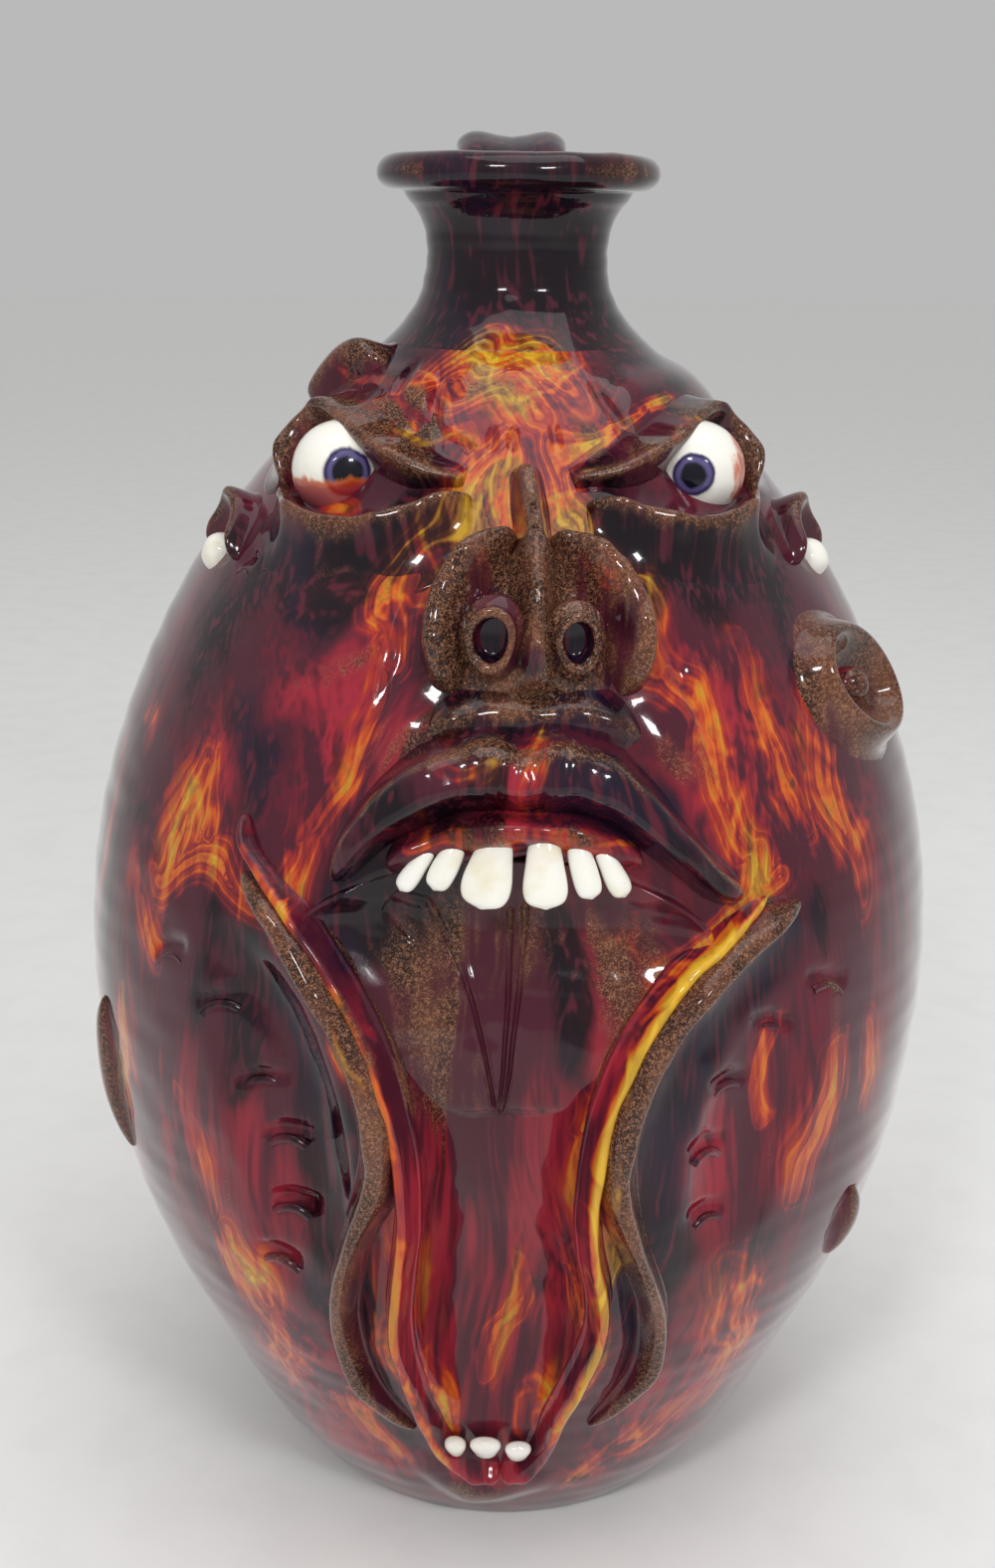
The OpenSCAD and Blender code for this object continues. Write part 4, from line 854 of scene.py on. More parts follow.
# Each nostril: angle, share of the height and size
NOSTRILS = {"left": (-4.6, 0.8054, 1.0), "right": (6.5, 0.8039, 0.92)}
NOSTRIL_D, NOSTRIL_BORE_D, NOSTRIL_SEAT, NOSTRIL_DEPTH = 12.5, 8.3, 0.44 * NOSE_T, 3.4
# The nose is pushed in round each ring's hole: the hole's radius as a share of the bore, and how softly it ends
HOLE_SHARE, HOLE_SOFT = 0.54, 2.2


def nostril_place(side):
    angle, share, size = NOSTRILS[side]
    origin = on_wall(angle, share * BODY_H, NOSE_T - NOSTRIL_SEAT)
    way = turned(np.array([0.0, -1.0, 0.02]), "z", math.radians(angle + math.copysign(5, angle)))
    return origin, way, size


def make_nose(finish):
    rings, crest = coil_rings(NOSE, NOSE_W, NOSE_T, 120, over=(0.92, 3.4), around=100, end=0.8,
                              uneven=0.02, septum=(0.6, 3.6))
    for side in NOSTRILS:
        origin, way, size = nostril_place(side)
        v = rings - origin
        along = v @ way
        off = np.linalg.norm(v - along[..., None] * way, axis=-1)
        hole = NOSTRIL_BORE_D * size * HOLE_SHARE
        push = (1 - soft_step(off, hole, hole + HOLE_SOFT)) * np.clip(along + 4, 0, 20)
        rings = rings - way * push[..., None]
    clay_piece("nose_mound", "nose", rings, crest * 0.8, finish, bare=0.24, dark=-0.12, heat=-0.3)


def make_nostril(side, finish):
    """Rolled ring let into the nose, with its hole painted dark."""
    origin, way, size = nostril_place(side)
    outer, bore = NOSTRIL_D * size / 2, NOSTRIL_BORE_D * size / 2
    edge, length = (outer - bore) / 2, NOSTRIL_SEAT - NOSTRIL_DEPTH
    # Radius, height, crest and share painted dark, from the hole's floor over the roll to the seat
    rows = [[0.1, -2.6, 0, 1], [bore * 0.7, -2.5, 0, 1], [bore * 0.96, -1.8, 0, 1], [bore, -0.6, 0, 1],
            [bore, length - edge * 1.2, 0.2, 0.5]]
    rows += [[bore + edge - edge * math.cos(a), length - edge + edge * math.sin(a), min(1.3 * math.sin(a), 1), 0]
             for a in np.linspace(0.1, math.pi, 16)]
    rows += [[outer, length - edge * 1.5, 0.3, 0], [outer + 0.3, length - edge * 2.2, 0.1, 0],
             [outer + 1.6, length - edge * 3.2, 0, 0], [outer + 1.6, -NOSTRIL_DEPTH, 0, 0],
             [0.1, -NOSTRIL_DEPTH, 0, 0]]
    rows = np.array(rows)
    around = 64
    w = full_turn(around)
    rings = turned_rings(rows[:, :2], around)
    oval = 1 + 0.07 * np.cos(2 * w + (0.4 if side == "left" else -0.3)) + 0.025 * np.sin(3 * w + 1)
    rings *= np.stack([oval * 1.02, oval * 1.2, oval * 0 + 1], axis=-1)
    rings[..., 2] += 0.3 * np.sin(w * 2 + 1) * soft_step(rows[:, 1], length - edge * 2, length)[:, None]
    # The floor and bore of the hole are painted dark
    dark_share = np.concatenate([np.repeat(rows[:, 3], around), [1, 0]])
    clay_piece(f"{side}_nostril_ring", f"{side}_nostril", placed(rings, origin + 0.25 * way, way), rows[:, 2],
               finish, bare=0.42 - 0.7 * dark_share, dark=-0.4 + 0.9 * dark_share)


# Flanks
FLANK_EYE, FLANK_ANGLES, FLANK_BALL_D, KNOB_D = 0.839, {"left": -69.5, "right": 67.8}, 11, 10.4
FLANK_RING_ANGLE, FLANK_RING_Z = 57.3, 0.751
FLANK_LID = [[-1.25, 0.0, 0.35, 0.3], [-1, 0.011, 0.6, 0.5], [-0.5, 0.029, 0.9, 0.75], [0.3, 0.033, 0.9, 0.75],
             [1, 0.013, 0.6, 0.5], [1.2, 0.0, 0.35, 0.3]]
LUMPS = {
    "left_shoulder_lump": [[-56, 0.984, 0.5, 0.4], [-60, 0.982, 0.9, 0.8], [-66, 0.98, 1.15, 1.15],
                           [-72, 0.97, 1.2, 1.15], [-79, 0.953, 0.9, 0.8], [-81, 0.946, 0.5, 0.4]],
    "left_low_lump": [[-66, 0.48, 0.5, 0.25], [-67, 0.44, 1.1, 0.45], [-67, 0.39, 1.2, 0.5], [-65, 0.34, 0.5, 0.25]],
    "right_low_lump": [[52, 0.34, 0.5, 0.25], [53, 0.315, 1.1, 0.45], [53, 0.295, 1.1, 0.45], [52, 0.27, 0.5, 0.25]],
}


def ball(node, finish, centre, d, **paint):
    polar = np.linspace(0.03, math.pi - 0.03, 40)
    away = np.array([centre[0], centre[1], 0]) / math.hypot(centre[0], centre[1])
    rings = ball_rings(d / 2, polar, 56, centre, away)
    rings = rings + unevenness(rings * 1.5, 0.3)[..., None] * away
    clay_piece(f"{node}_glazed", node, rings, np.clip(np.cos(polar), 0, 1), finish, **paint)


def make_flanks(brown, white):
    ring = [[FLANK_RING_ANGLE + 9 * math.cos(w) + 1.6 * math.sin(w),
             FLANK_RING_Z + 0.034 * math.sin(w) - 0.017 * math.cos(w), 1, 1] for w in full_turn(16)]
    coil("right_flank_ring", brown, ring, 8.6, 7.6, 90, closed=True, over=(0.98, 2.0), uneven=0.0, around=40,
         paint={"bare": 0.55, "dark": -0.6, "heat": -0.3})
    ball("right_flank_knob", brown, on_wall(FLANK_RING_ANGLE, FLANK_RING_Z * BODY_H, 0), KNOB_D,
         bare=0.3, crimson=0.5, dark=-0.3)
    for side, angle in FLANK_ANGLES.items():
        ball(f"{side}_flank_ball", white, on_wall(angle, FLANK_EYE * BODY_H, -0.1 * FLANK_BALL_D), FLANK_BALL_D)
        rows = [[angle + math.copysign(7, angle) * a, FLANK_EYE + z, wide, out] for a, z, wide, out in FLANK_LID]
        coil(f"{side}_flank_lid", brown, rows, LID_W, LID_OUT, 40, over=(0.95, 3), uneven=0.08)
    for node, rows in LUMPS.items():
        coil(node, brown, rows, 10, 8, 44, suffix="clay", over=(1.0, 2.6), uneven=0.0,
             paint={"dark": -0.6, "bare": 0.15})


# Finishes
class Wire:
    """What comes out of a node, so that a glaze can be written as a sum."""

    def __init__(self, bench, socket):
        self.bench, self.socket = bench, socket

    def __add__(self, other):
        return self.bench.sum("ADD", self, other)

    def __sub__(self, other):
        return self.bench.sum("SUBTRACT", self, other)

    def __rsub__(self, other):
        return self.bench.sum("SUBTRACT", other, self)

    def __mul__(self, other):
        return self.bench.sum("MULTIPLY", self, other)

    def __getitem__(self, name):
        return Wire(self.bench, self.socket[name])

    __radd__, __rmul__ = __add__, __mul__


class Bench:
    """Puts nodes in a tree and joins them."""

    def __init__(self, tree):
        self.nodes, self.links = tree.nodes, tree.links

    def put(self, kind, **inputs):
        node = self.nodes.new(kind)
        node.location = (len(self.nodes) % 8 * 220 - 1600, -(len(self.nodes) // 8) * 260)
        for name, value in inputs.items():
            self.join(node.inputs[name.replace("_", " ")], value)
        return node

    def add(self, kind, **inputs):
        """A new node's outputs, to be picked by name or number."""
        return Wire(self, self.put(kind, **inputs).outputs)

    def join(self, socket, value):
        if isinstance(value, Wire):
            self.links.new(value.socket, socket)
        elif isinstance(value, tuple) and socket.type == "RGBA":
            socket.default_value = (*value, 1)
        else:
            socket.default_value = value

    def sum(self, kind, a, b=0.0, limit=False):
        node = self.put("ShaderNodeMath")
        node.operation, node.use_clamp = kind, limit
        self.join(node.inputs[0], a)
        self.join(node.inputs[1], b)
        return Wire(self, node.outputs[0])


class Recipe(Bench):
    """A glaze put together from nodes."""

    def __init__(self, name):
        self.material = bpy.data.materials.new(name)
        self.material.use_nodes = True
        super().__init__(self.material.node_tree)
        self.nodes.clear()
        self.place = self.add("ShaderNodeTexCoord")["Object"]

    def mark(self, name, output="Fac"):
        node = self.put("ShaderNodeAttribute")
        node.attribute_name = name
        return Wire(self, node.outputs[output])

    def noise(self, scale, stretch=(1, 1, 1), detail=4.0, rough=0.55, twist=0.0, at=None):
        place = self.add("ShaderNodeMapping", Vector=at or self.place, Scale=stretch)[0]
        return self.add("ShaderNodeTexNoise", Vector=place, Scale=scale, Detail=detail, Roughness=rough,
                        Distortion=twist)["Fac"]

    def drift(self, scale, reach, at=None):
        """The place moved about by a slow noise, up to reach in metres."""
        long = self.add("ShaderNodeMapping", Vector=at or self.place, Scale=(1, 1, 0.4))[0]
        wave = self.add("ShaderNodeTexNoise", Vector=long, Scale=scale, Detail=0.0)["Color"]
        shift = self.put("ShaderNodeVectorMath")
        shift.operation = "MULTIPLY_ADD"
        for index, value in enumerate((wave, (2 * reach,) * 3, at or self.place)):
            self.join(shift.inputs[index], value)
        return Wire(self, shift.outputs[0])

    def ramp(self, share, *stops):
        node = self.put("ShaderNodeValToRGB", Fac=share)
        band = node.color_ramp
        while len(band.elements) < len(stops):
            band.elements.new(0.5)
        for element, (at, colour) in zip(band.elements, stops):
            element.position, element.color = at, (*colour, 1)
        return Wire(self, node.outputs[0])

    def step(self, value, low, high):
        node = self.put("ShaderNodeMapRange", Value=value, From_Min=low, From_Max=high)
        node.interpolation_type = "SMOOTHSTEP"
        return Wire(self, node.outputs[0])

    def over(self, under, top, share):
        node = self.put("ShaderNodeMix")
        node.data_type = "RGBA"
        for index, value in ((0, share), (6, under), (7, top)):
            self.join(node.inputs[index], value)
        return Wire(self, node.outputs[2])

    def shine(self, colour, rough, bumps):
        normal = self.add("ShaderNodeBump", Strength=0.35, Distance=0.0006, Height=bumps)[0]
        return self.finished(Base_Color=colour, Roughness=rough, Normal=normal, Coat_Weight=1.0, Coat_Roughness=0.04,
                             IOR=1.5, Specular_IOR_Level=0.08, Coat_IOR=1.33)

    def finished(self, **inputs):
        self.put("ShaderNodeOutputMaterial", Surface=self.add("ShaderNodeBsdfPrincipled", **inputs)[0])
        return self.material


PLUM, CRIMSON, OXBLOOD = (0.066, 0.010, 0.021), (0.33, 0.019, 0.036), (0.135, 0.010, 0.022)
FLAME, ORANGE, GOLD = (0.40, 0.035, 0.016), (0.60, 0.120, 0.016), (0.52, 0.25, 0.018)
YELLOW, VIOLET, PALE_VIOLET = (0.72, 0.42, 0.03), (0.030, 0.020, 0.085), (0.13, 0.11, 0.26)
BROWN, SPECK, DEEP_BROWN = (0.100, 0.038, 0.021), (0.38, 0.17, 0.09), (0.018, 0.008, 0.006)
INK, MIDNIGHT, PUPIL = (0.0025, 0.0025, 0.005), (0.008, 0.007, 0.022), (0.004, 0.003, 0.010)
WHITE, CREAM, TAN = (0.87, 0.85, 0.78), (0.76, 0.70, 0.52), (0.42, 0.24, 0.11)
# How far apart the threads along a run lie, in millimetres
LANE_W = 3.4


def flowing_glaze(name, heat=0.0, dark=0.0, bare=0.0, crimson=0.0, glow=0.0):
    """Glaze that ran down in the kiln: plum and crimson with hot streaks, ink-dark pools and bare brown edges.

    heat, dark, bare and crimson shift the painted runs. glow warms the crests.
    """
    g = Recipe(name)
    parts = g.add("ShaderNodeSeparateColor", Color=g.mark("runs", "Color"))
    heat_run, dark_run, bare_run = (parts[index] for index in range(3))
    edge = g.mark("crest")
    # The glaze is stirred by a slow drift and then drawn out downwards
    drift = g.drift(85, 0.0012, at=g.drift(30, 0.012))
    flow = g.noise(95, (1, 1, 0.10), detail=1, rough=0.4, at=drift)
    fine = g.noise(420, (1, 1, 0.07), detail=1, rough=0.5, at=drift)
    thread = g.sum("ABSOLUTE", g.noise(55, (1, 1, 0.10), detail=1, rough=0.5, at=drift) - 0.5)
    thread = 1.0 - g.step(thread, 0.004, 0.042)
    slow = g.noise(38, (1, 1, 0.4), detail=1, rough=0.4)
    cloud = g.noise(24, (1, 1, 0.5), detail=3)
    speckle = g.noise(2400, detail=2, rough=0.7)
    grain = g.noise(1000, detail=4, rough=0.7)
    stir = flow * 0.62 + fine * 0.38 - 0.5

    colour = g.over(PLUM, OXBLOOD, g.step(cloud + stir * 2.2, 0.38, 0.68))
    colour = g.over(colour, CRIMSON, g.step(g.mark("runs", "Alpha") + crimson + stir * 3.0, 0.16, 0.92))
    hot = heat_run * 0.74 + g.step(edge, 0.3, 1.0) * glow + (heat - 0.03)
    hot += stir * (heat_run * 0.35 + 0.85) + thread * (heat_run * 0.12 + 0.08)
    # Threads that run along each painted run, a few to a run
    lane = g.mark("across") * (2 * math.pi / LANE_W) + slow * 17.0
    lane = g.sum("SINE", lane) + g.sum("SINE", lane * 2.3) * 0.5
    hot += lane * heat_run * 0.13
    shade = g.ramp(g.sum("ADD", hot, 0.0, limit=True), (0.16, CRIMSON), (0.36, FLAME), (0.50, ORANGE), (0.68, GOLD),
                   (0.92, YELLOW))
    colour = g.over(colour, shade, g.step(hot, 0.12, 0.44))
    if not glow:
        mottle = g.step(g.noise(420, (1, 1, 0.5), detail=3), 0.47, 0.60) * g.step(heat_run, 0.35, 0.8)
        colour = g.over(colour, OXBLOOD, mottle * 0.42)
    night = g.over(INK, MIDNIGHT, g.step(cloud, 0.45, 0.62))
    night = g.over(night, PLUM, g.step(fine, 0.52, 0.7))
    cold = 1.0 - g.step(hot, 0.45, 0.8) * 0.7
    dark_share = dark_run + (dark + 0.06) + stir * 3.4
    colour = g.over(colour, night, g.step(dark_share, 0.22, 0.8) * cold * 0.93)
    clay = g.over(BROWN, DEEP_BROWN, g.step(flow + cloud * 0.4, 0.56, 0.80))
    clay = g.over(clay, SPECK, g.step(speckle * 0.6 + grain * 0.5, 0.50, 0.70) * 0.85)
    shown = bare_run + bare + edge * 0.6 + stir * 1.6 - dark_run * 0.55
    colour = g.over(colour, clay, g.step(shown, 0.34, 0.8) * cold * 0.95)
    rough = g.add("ShaderNodeMapRange", Value=fine, To_Min=0.08, To_Max=0.2)[0]
    return g.shine(colour, rough, flow * 0.8 + grain * 0.1)


def white_glaze():
    g = Recipe("white_tin_glaze")
    cloud = g.noise(70, detail=3)
    grain = g.noise(900, detail=3, rough=0.7)
    colour = g.over(WHITE, CREAM, g.step(cloud, 0.52, 0.78))
    colour = g.over(colour, TAN, g.step(grain, 0.68, 0.76) * 0.5)
    return g.shine(colour, g.step(grain, -2.0, 4.0), cloud * 0.5)


def eye_glaze(name, reach):
    """White eyeball with a dark pupil in a violet ring, and a run of hot glaze over part of it."""
    g = Recipe(name)
    cloud = g.noise(90, detail=3)
    wisp = g.noise(240, (1, 1, 0.5), detail=4, twist=0.5)
    away = g.mark("from_pupil") + (wisp - 0.5) * 0.16
    colour = g.over(WHITE, CREAM, g.step(cloud, 0.5, 0.8))
    for tint, inner, outer, share in ((VIOLET, 0.92, 1.1, 1), (PALE_VIOLET, 0.72, 0.9, 0.7), (PUPIL, 0.5, 0.66, 1)):
        colour = g.over(colour, tint, (1.0 - g.step(away, reach * inner, reach * outer)) * share)
    run = g.mark("eye_run") + (wisp - 0.5) * 0.9
    hot = g.ramp(run, (0.30, YELLOW), (0.42, ORANGE), (0.70, FLAME), (1.0, CRIMSON))
    colour = g.over(colour, hot, g.step(run, 0.3, 0.55) * 0.9)
    return g.shine(colour, g.step(wisp, -2.0, 5.0), cloud * 0.3)


def studio_surface(name, colour, rough):
    g = Recipe(name)
    grain = g.noise(40, detail=4)
    tint = g.over(colour, tuple(c * 0.97 for c in colour), g.step(grain, 0.4, 0.7))
    normal = g.add("ShaderNodeBump", Strength=0.02, Distance=0.001, Height=grain)[0]
    return g.finished(Base_Color=tint, Roughness=rough, Normal=normal)


# Nail marks pressed into the cheeks, and smaller ones under the eyes: angle, share of the height, length in
# millimetres, and turn in degrees
NAIL_MARKS = (
    (-47.4, 0.560, 11, 20), (-38.3, 0.534, 11, 15), (-33.3, 0.476, 11, 10), (-30.4, 0.433, 11, 5),
    (-29.5, 0.375, 11, 0), (-32.1, 0.322, 11, -5), (39.9, 0.549, 11, -20), (32.3, 0.523, 11, -15),
    (26.2, 0.483, 11, -10), (23.5, 0.434, 11, -5), (24.1, 0.377, 10, 0), (-55.9, 0.837, 6, 10),
    (-48.5, 0.839, 6, 5), (-34.1, 0.848, 6, 0), (-32.7, 0.856, 6, -5), (-30.1, 0.867, 6, -10),
    (23.0, 0.870, 6, 10), (27.8, 0.859, 6, 5), (29.3, 0.840, 6, 0),
)
# Marks shorter than this are shallow: how far a burr sinks in the clay, and how deep the dent under it is
SMALL_MARK, MARK_SINK, SMALL_SINK, MARK_DEPTH, SMALL_DEPTH = 8, 1.2, 0.3, 1.9, 1.0
# A burr whose size is 1: its length, thickness and bend in millimetres, the sweep of its arc and its swell along it
BURR_L, BURR_R, BEND, SWEEP, SWELL = 10, 1.15, 6.6, 84, ((0.14, 0.62), (0.5, 1.0), (0.86, 0.62))


def nail_tree(finish):
    """Geometry nodes that lay a curved burr of clay at every seat."""
    tree = bpy.data.node_groups.new("nail_burrs", "GeometryNodeTree")
    for name, way, kind in (("Seats", "INPUT", "Geometry"), ("Burr Radius", "INPUT", "Float"),
                            ("Bend Radius", "INPUT", "Float"), ("Sweep", "INPUT", "Float"),
                            ("Seed", "INPUT", "Int"), ("Burrs", "OUTPUT", "Geometry")):
        tree.interface.new_socket(name, in_out=way, socket_type=f"NodeSocket{kind}")
    b = Bench(tree)
    given = b.add("NodeGroupInput")
    arc = b.add("GeometryNodeCurveArc", Resolution=13, Radius=given["Bend Radius"], Sweep_Angle=given["Sweep"])
    ring = b.add("GeometryNodeCurvePrimitiveCircle", Resolution=8, Radius=given["Burr Radius"])
    swell = b.put("ShaderNodeFloatCurve", Value=b.add("GeometryNodeSplineParameter")["Factor"])
    ends = swell.mapping.curves[0].points
    for x, y in SWELL:
        ends.new(x, y)
    ends[0].location, ends[-1].location = (0, 0.08), (1, 0.08)
    thin = b.add("GeometryNodeSetCurveRadius", Curve=arc["Curve"], Radius=Wire(b, swell.outputs[0]))
    body = b.add("GeometryNodeCurveToMesh", Curve=thin["Curve"], Profile_Curve=ring["Curve"], Fill_Caps=True)
    marks = {}
    for name, kind in (("turn", "FLOAT_VECTOR"), ("size", "FLOAT")):
        mark = b.put("GeometryNodeInputNamedAttribute", Name=name)
        mark.data_type = kind
        marks[name] = Wire(b, mark.outputs["Attribute"])
    chance = b.put("FunctionNodeRandomValue", Seed=given["Seed"])
    chance.inputs[2].default_value, chance.inputs[3].default_value = 0.92, 1.08
    angle = b.put("FunctionNodeEulerToRotation")
    b.join(angle.inputs[0], marks["turn"])
    laid = b.add("GeometryNodeInstanceOnPoints", Points=given["Seats"], Instance=body["Mesh"],
                 Rotation=Wire(b, angle.outputs[0]), Scale=Wire(b, chance.outputs[1]) * marks["size"])
    real = b.add("GeometryNodeRealizeInstances", Geometry=laid["Instances"])
    soft = b.add("GeometryNodeSetShadeSmooth", Geometry=real["Geometry"])
    coat = b.add("GeometryNodeSetMaterial", Geometry=soft["Geometry"], Material=finish)
    b.put("NodeGroupOutput", Burrs=coat["Geometry"])
    return tree


def make_nail_marks(material):
    places, turns, sizes = [], [], []
    skin, way_out = CARVED_SKIN
    skin_angle, skin_z = seats_of(skin)
    for angle, share, length, turn in NAIL_MARKS:
        near = np.argmin(((skin_angle - angle) * 2) ** 2 + (skin_z - share * BODY_H) ** 2)
        z = Vector(way_out[near]).normalized()
        x = Vector((0, 0, 1)).cross(z).normalized()
        axes = Matrix((x, z.cross(x), z)).transposed() @ Matrix.Rotation(math.radians(turn), 3, "Z")
        sink = SMALL_SINK if length < SMALL_MARK else MARK_SINK
        places.append((Vector(skin[near]) - z * sink - axes @ Vector((0, BEND * length / BURR_L, 0))) * MM)
        turns.append((axes @ Matrix.Rotation(math.radians(90 - SWEEP / 2), 3, "Z")).to_euler())
        sizes.append(length / BURR_L)
    seats = bpy.data.meshes.new("nail_seats")
    seats.from_pydata(places, [], [])
    mark_points(seats, "turn", [tuple(turn) for turn in turns])
    mark_points(seats, "size", sizes)
    holder = put_in_scene("nail_seats", seats)
    tree = nail_tree(material)
    live = holder.modifiers.new("burrs", "NODES")
    live.node_group = tree
    names = {item.name: item.identifier for item in tree.interface.items_tree if item.in_out == "INPUT"}
    for name, value in (("Burr Radius", BURR_R * MM), ("Bend Radius", BEND * MM), ("Sweep", math.radians(SWEEP)),
                        ("Seed", 5)):
        live[names[name]] = value
    holder.update_tag()
    bpy.context.view_layer.update()
    mesh = bpy.data.meshes.new_from_object(holder.evaluated_get(bpy.context.evaluated_depsgraph_get()))
    bpy.data.objects.remove(holder)
    points = np.array([v.co for v in mesh.vertices]) / MM
    glaze(put_in_scene("nail_burrs", mesh), points, 0.3, (material, "dark_glaze"))


# Marks on the body. A row gives half the width in millimetres, the amount or height, and then the angle and the
# height of each point of its line, in thousandths of the body's
ORANGE_RUNS = [
    (11, 1.0, -29.7, 980, -16, 987, 2.2, 985, 14.7, 973),
    (10, 0.85, -17.8, 964, -1.3, 961, 5.2, 947),
    (3.5, 0.75, -13, 925, -20.8, 930, -30.1, 938, -40, 950, -47.9, 967),
    (2.5, 0.6, -84.7, 972, -72.6, 984, -50.3, 980),
    (8, 0.95, -5.9, 930, -12.1, 914, -14.1, 894, -15.4, 872, -17.9, 858, -20.3, 837, -20.8, 811),
    (7, 0.9, -4.8, 931, -5.9, 908, -5.9, 883, -8, 864),
    (8, 0.95, 9.2, 931, 7, 905, 8.3, 880, 12.4, 864, 17.2, 845, 19.4, 819, 20.3, 785),
    (5, 0.9, 7.9, 926, 15.8, 937, 26.4, 949, 40.5, 959),
    (6, 0.85, 38.7, 965, 46.1, 955),
    (8, 0.7, 20.2, 811, 22.2, 777, 23.9, 744, 26.6, 709, 27.7, 681, 28.1, 646),
    (7, 0.58, 33.6, 798, 35.1, 763, 36.9, 721, 37.7, 689, 38.4, 656),
    (9, 0.62, 45.7, 730, 45.8, 690, 46.1, 646, 48, 605),
    (5, 0.6, -21.1, 810, -21.1, 777, -22.9, 746, -24.2, 716, -26.6, 688, -29, 664),
    (10, 0.76, -46.5, 699, -48.3, 678, -49.4, 647, -50.5, 626),
    (5, 0.7, -44.2, 714, -43.6, 684, -43.2, 648),
    (4, 0.6, -67.3, 724, -63, 703),
    (8, 0.72, -52.1, 623, -44, 633, -38.3, 632, -34, 623),
    (6, 0.95, -32.5, 629, -28.5, 613, -25.1, 590),
    (4, 0.9, -24.9, 592, -21.7, 569, -18.7, 535, -16.3, 499, -14.8, 468),
    (3, 0.62, -15, 466, -14.1, 425, -14.2, 382, -15.4, 324, -15.7, 282, -15.2, 240),
    (6, 1, 32.4, 630, 27.2, 625, 23.1, 608, 18.7, 586, 14.6, 559, 11.9, 524, 9.9, 486),
    (5, 1, 9.9, 486, 8.8, 446, 8.7, 390, 10.2, 348, 10.7, 304),
    (4, 0.85, 10.7, 304, 10, 265, 7.8, 223, 4.4, 185),
    (5, 0.72, -8.8, 752, -6, 750, -5.5, 736),
    (5, 0.9, 3.3, 754, 1.1, 743, 0.9, 726),
    (3, 0.6, -20.4, 666, -14.3, 685, -9.9, 695, -3.3, 700, 3.4, 699, 10, 689, 15, 672),
    (6, 0.62, -0.7, 321, -0.9, 263, -2.6, 197),
    (5, 0.7, -11.1, 236, -10.4, 189, -12.3, 142),
    (4, 0.72, 9.1, 324, 8.3, 269, 6.9, 205, 2.8, 148),
    (5, 0.55, -16.7, 350, -17.3, 275, -16.9, 198),
    (6, 0.6, -44.8, 438, -43.8, 386, -43.1, 341),
    (9, 0.74, -39.5, 336, -38.3, 299, -38.6, 253),
    (8, 0.6, -38.2, 236, -38.4, 158),
    (4, 0.66, 32.5, 541, 32.3, 490, 33.8, 449),
    (7, 0.62, 41.3, 489, 39.8, 431, 37.6, 373),
    (8, 0.66, 27.1, 330, 35.2, 231, 35.9, 149),
    (6, 0.6, 47.1, 493, 49.9, 433),
    (6, 0.78, -27.6, 668, -29.1, 646, -27.9, 620, -26, 597),
    (8, 0.85, 30, 671, 28.1, 641, 26.5, 615),
    (4, 0.7, 8.5, 497, 7.5, 456),
    (5, 0.45, 14.8, 611, 11.3, 573),
    (3, 0.7, -44.2, 897, -35.7, 892, -29.6, 893),
    (5, 0.7, 21.9, 764, 21.5, 732),
    (5, 0.7, -60.4, 495, -61.2, 439, -60.8, 384),
    (7, 0.62, -55.4, 590, -49.5, 562),
    (5, 0.6, -27, 177, -22.4, 82),
    (6, 0.55, 10.6, 44, 24.1, 108, 31.1, 177),
]
DARK_POOLS = [
    (15, 0.95, -46, 852, -33, 842, -23.5, 855, -15, 885),
    (15, 0.95, 18, 890, 24, 858, 32, 842, 46, 850),
    (9, 0.7, 40.6, 856, 46, 825, 47.3, 785),
    (13, 0.6, -54.8, 845, -55.1, 802, -51.2, 754),
    (9, 0.85, -40.7, 764, -36.1, 727, -35.4, 693),
    (9, 1, -40.1, 598, -32.3, 557, -26.6, 503, -23.9, 445, -23.7, 384, -25.9, 319),
    (9, 1, 35.4, 598, 27.1, 572, 20.6, 538, 16.8, 495, 15.2, 447, 15.5, 385, 18, 316),
    (12, 0.7, -83.2, 1007, -38, 1001),
    (14, 0.8, 57.3, 1012, 65.2, 985, 38.2, 964),
    (12, 0.7, -77.1, 954, -80.5, 992, -54.4, 1018),
    (7, 0.85, -18.4, 678, -14.3, 702, -10, 720, -6.1, 724),
    (7, 0.9, 5.1, 731, 11.2, 715, 16.6, 685, 19.9, 660),
    (5, 0.8, -63.5, 674, -56.7, 639),
    (5, 1, -18.6, 373, -20.6, 318, -22.6, 258, -21.8, 182, -18.2, 127),
    (5, 1, 11.7, 398, 14.4, 335, 17.3, 266, 16.6, 204, 12.6, 145),
    (6, 0.85, 6.1, 621, 5.8, 564, 4.6, 519),
    (12, 0.9, -21.6, 606, -16.4, 631, -7.3, 641),
    (9, 0.8, -11.5, 778, -3.7, 774, 4, 777, 13.2, 778),
    (8, 0.8, -11.1, 830, -11.9, 804),
    (8, 0.8, 13.9, 836, 15.2, 804),
    (8, 0.6, -45.4, 570, -38.7, 535, -34.2, 487),
    (7, 0.7, 9.6, 283, 9.2, 233),
    (10, 0.6, 31.6, 349, 30, 303),
    (8, 0.75, -5.7, 842, -4, 810, 1.6, 811, 2.4, 843),
]
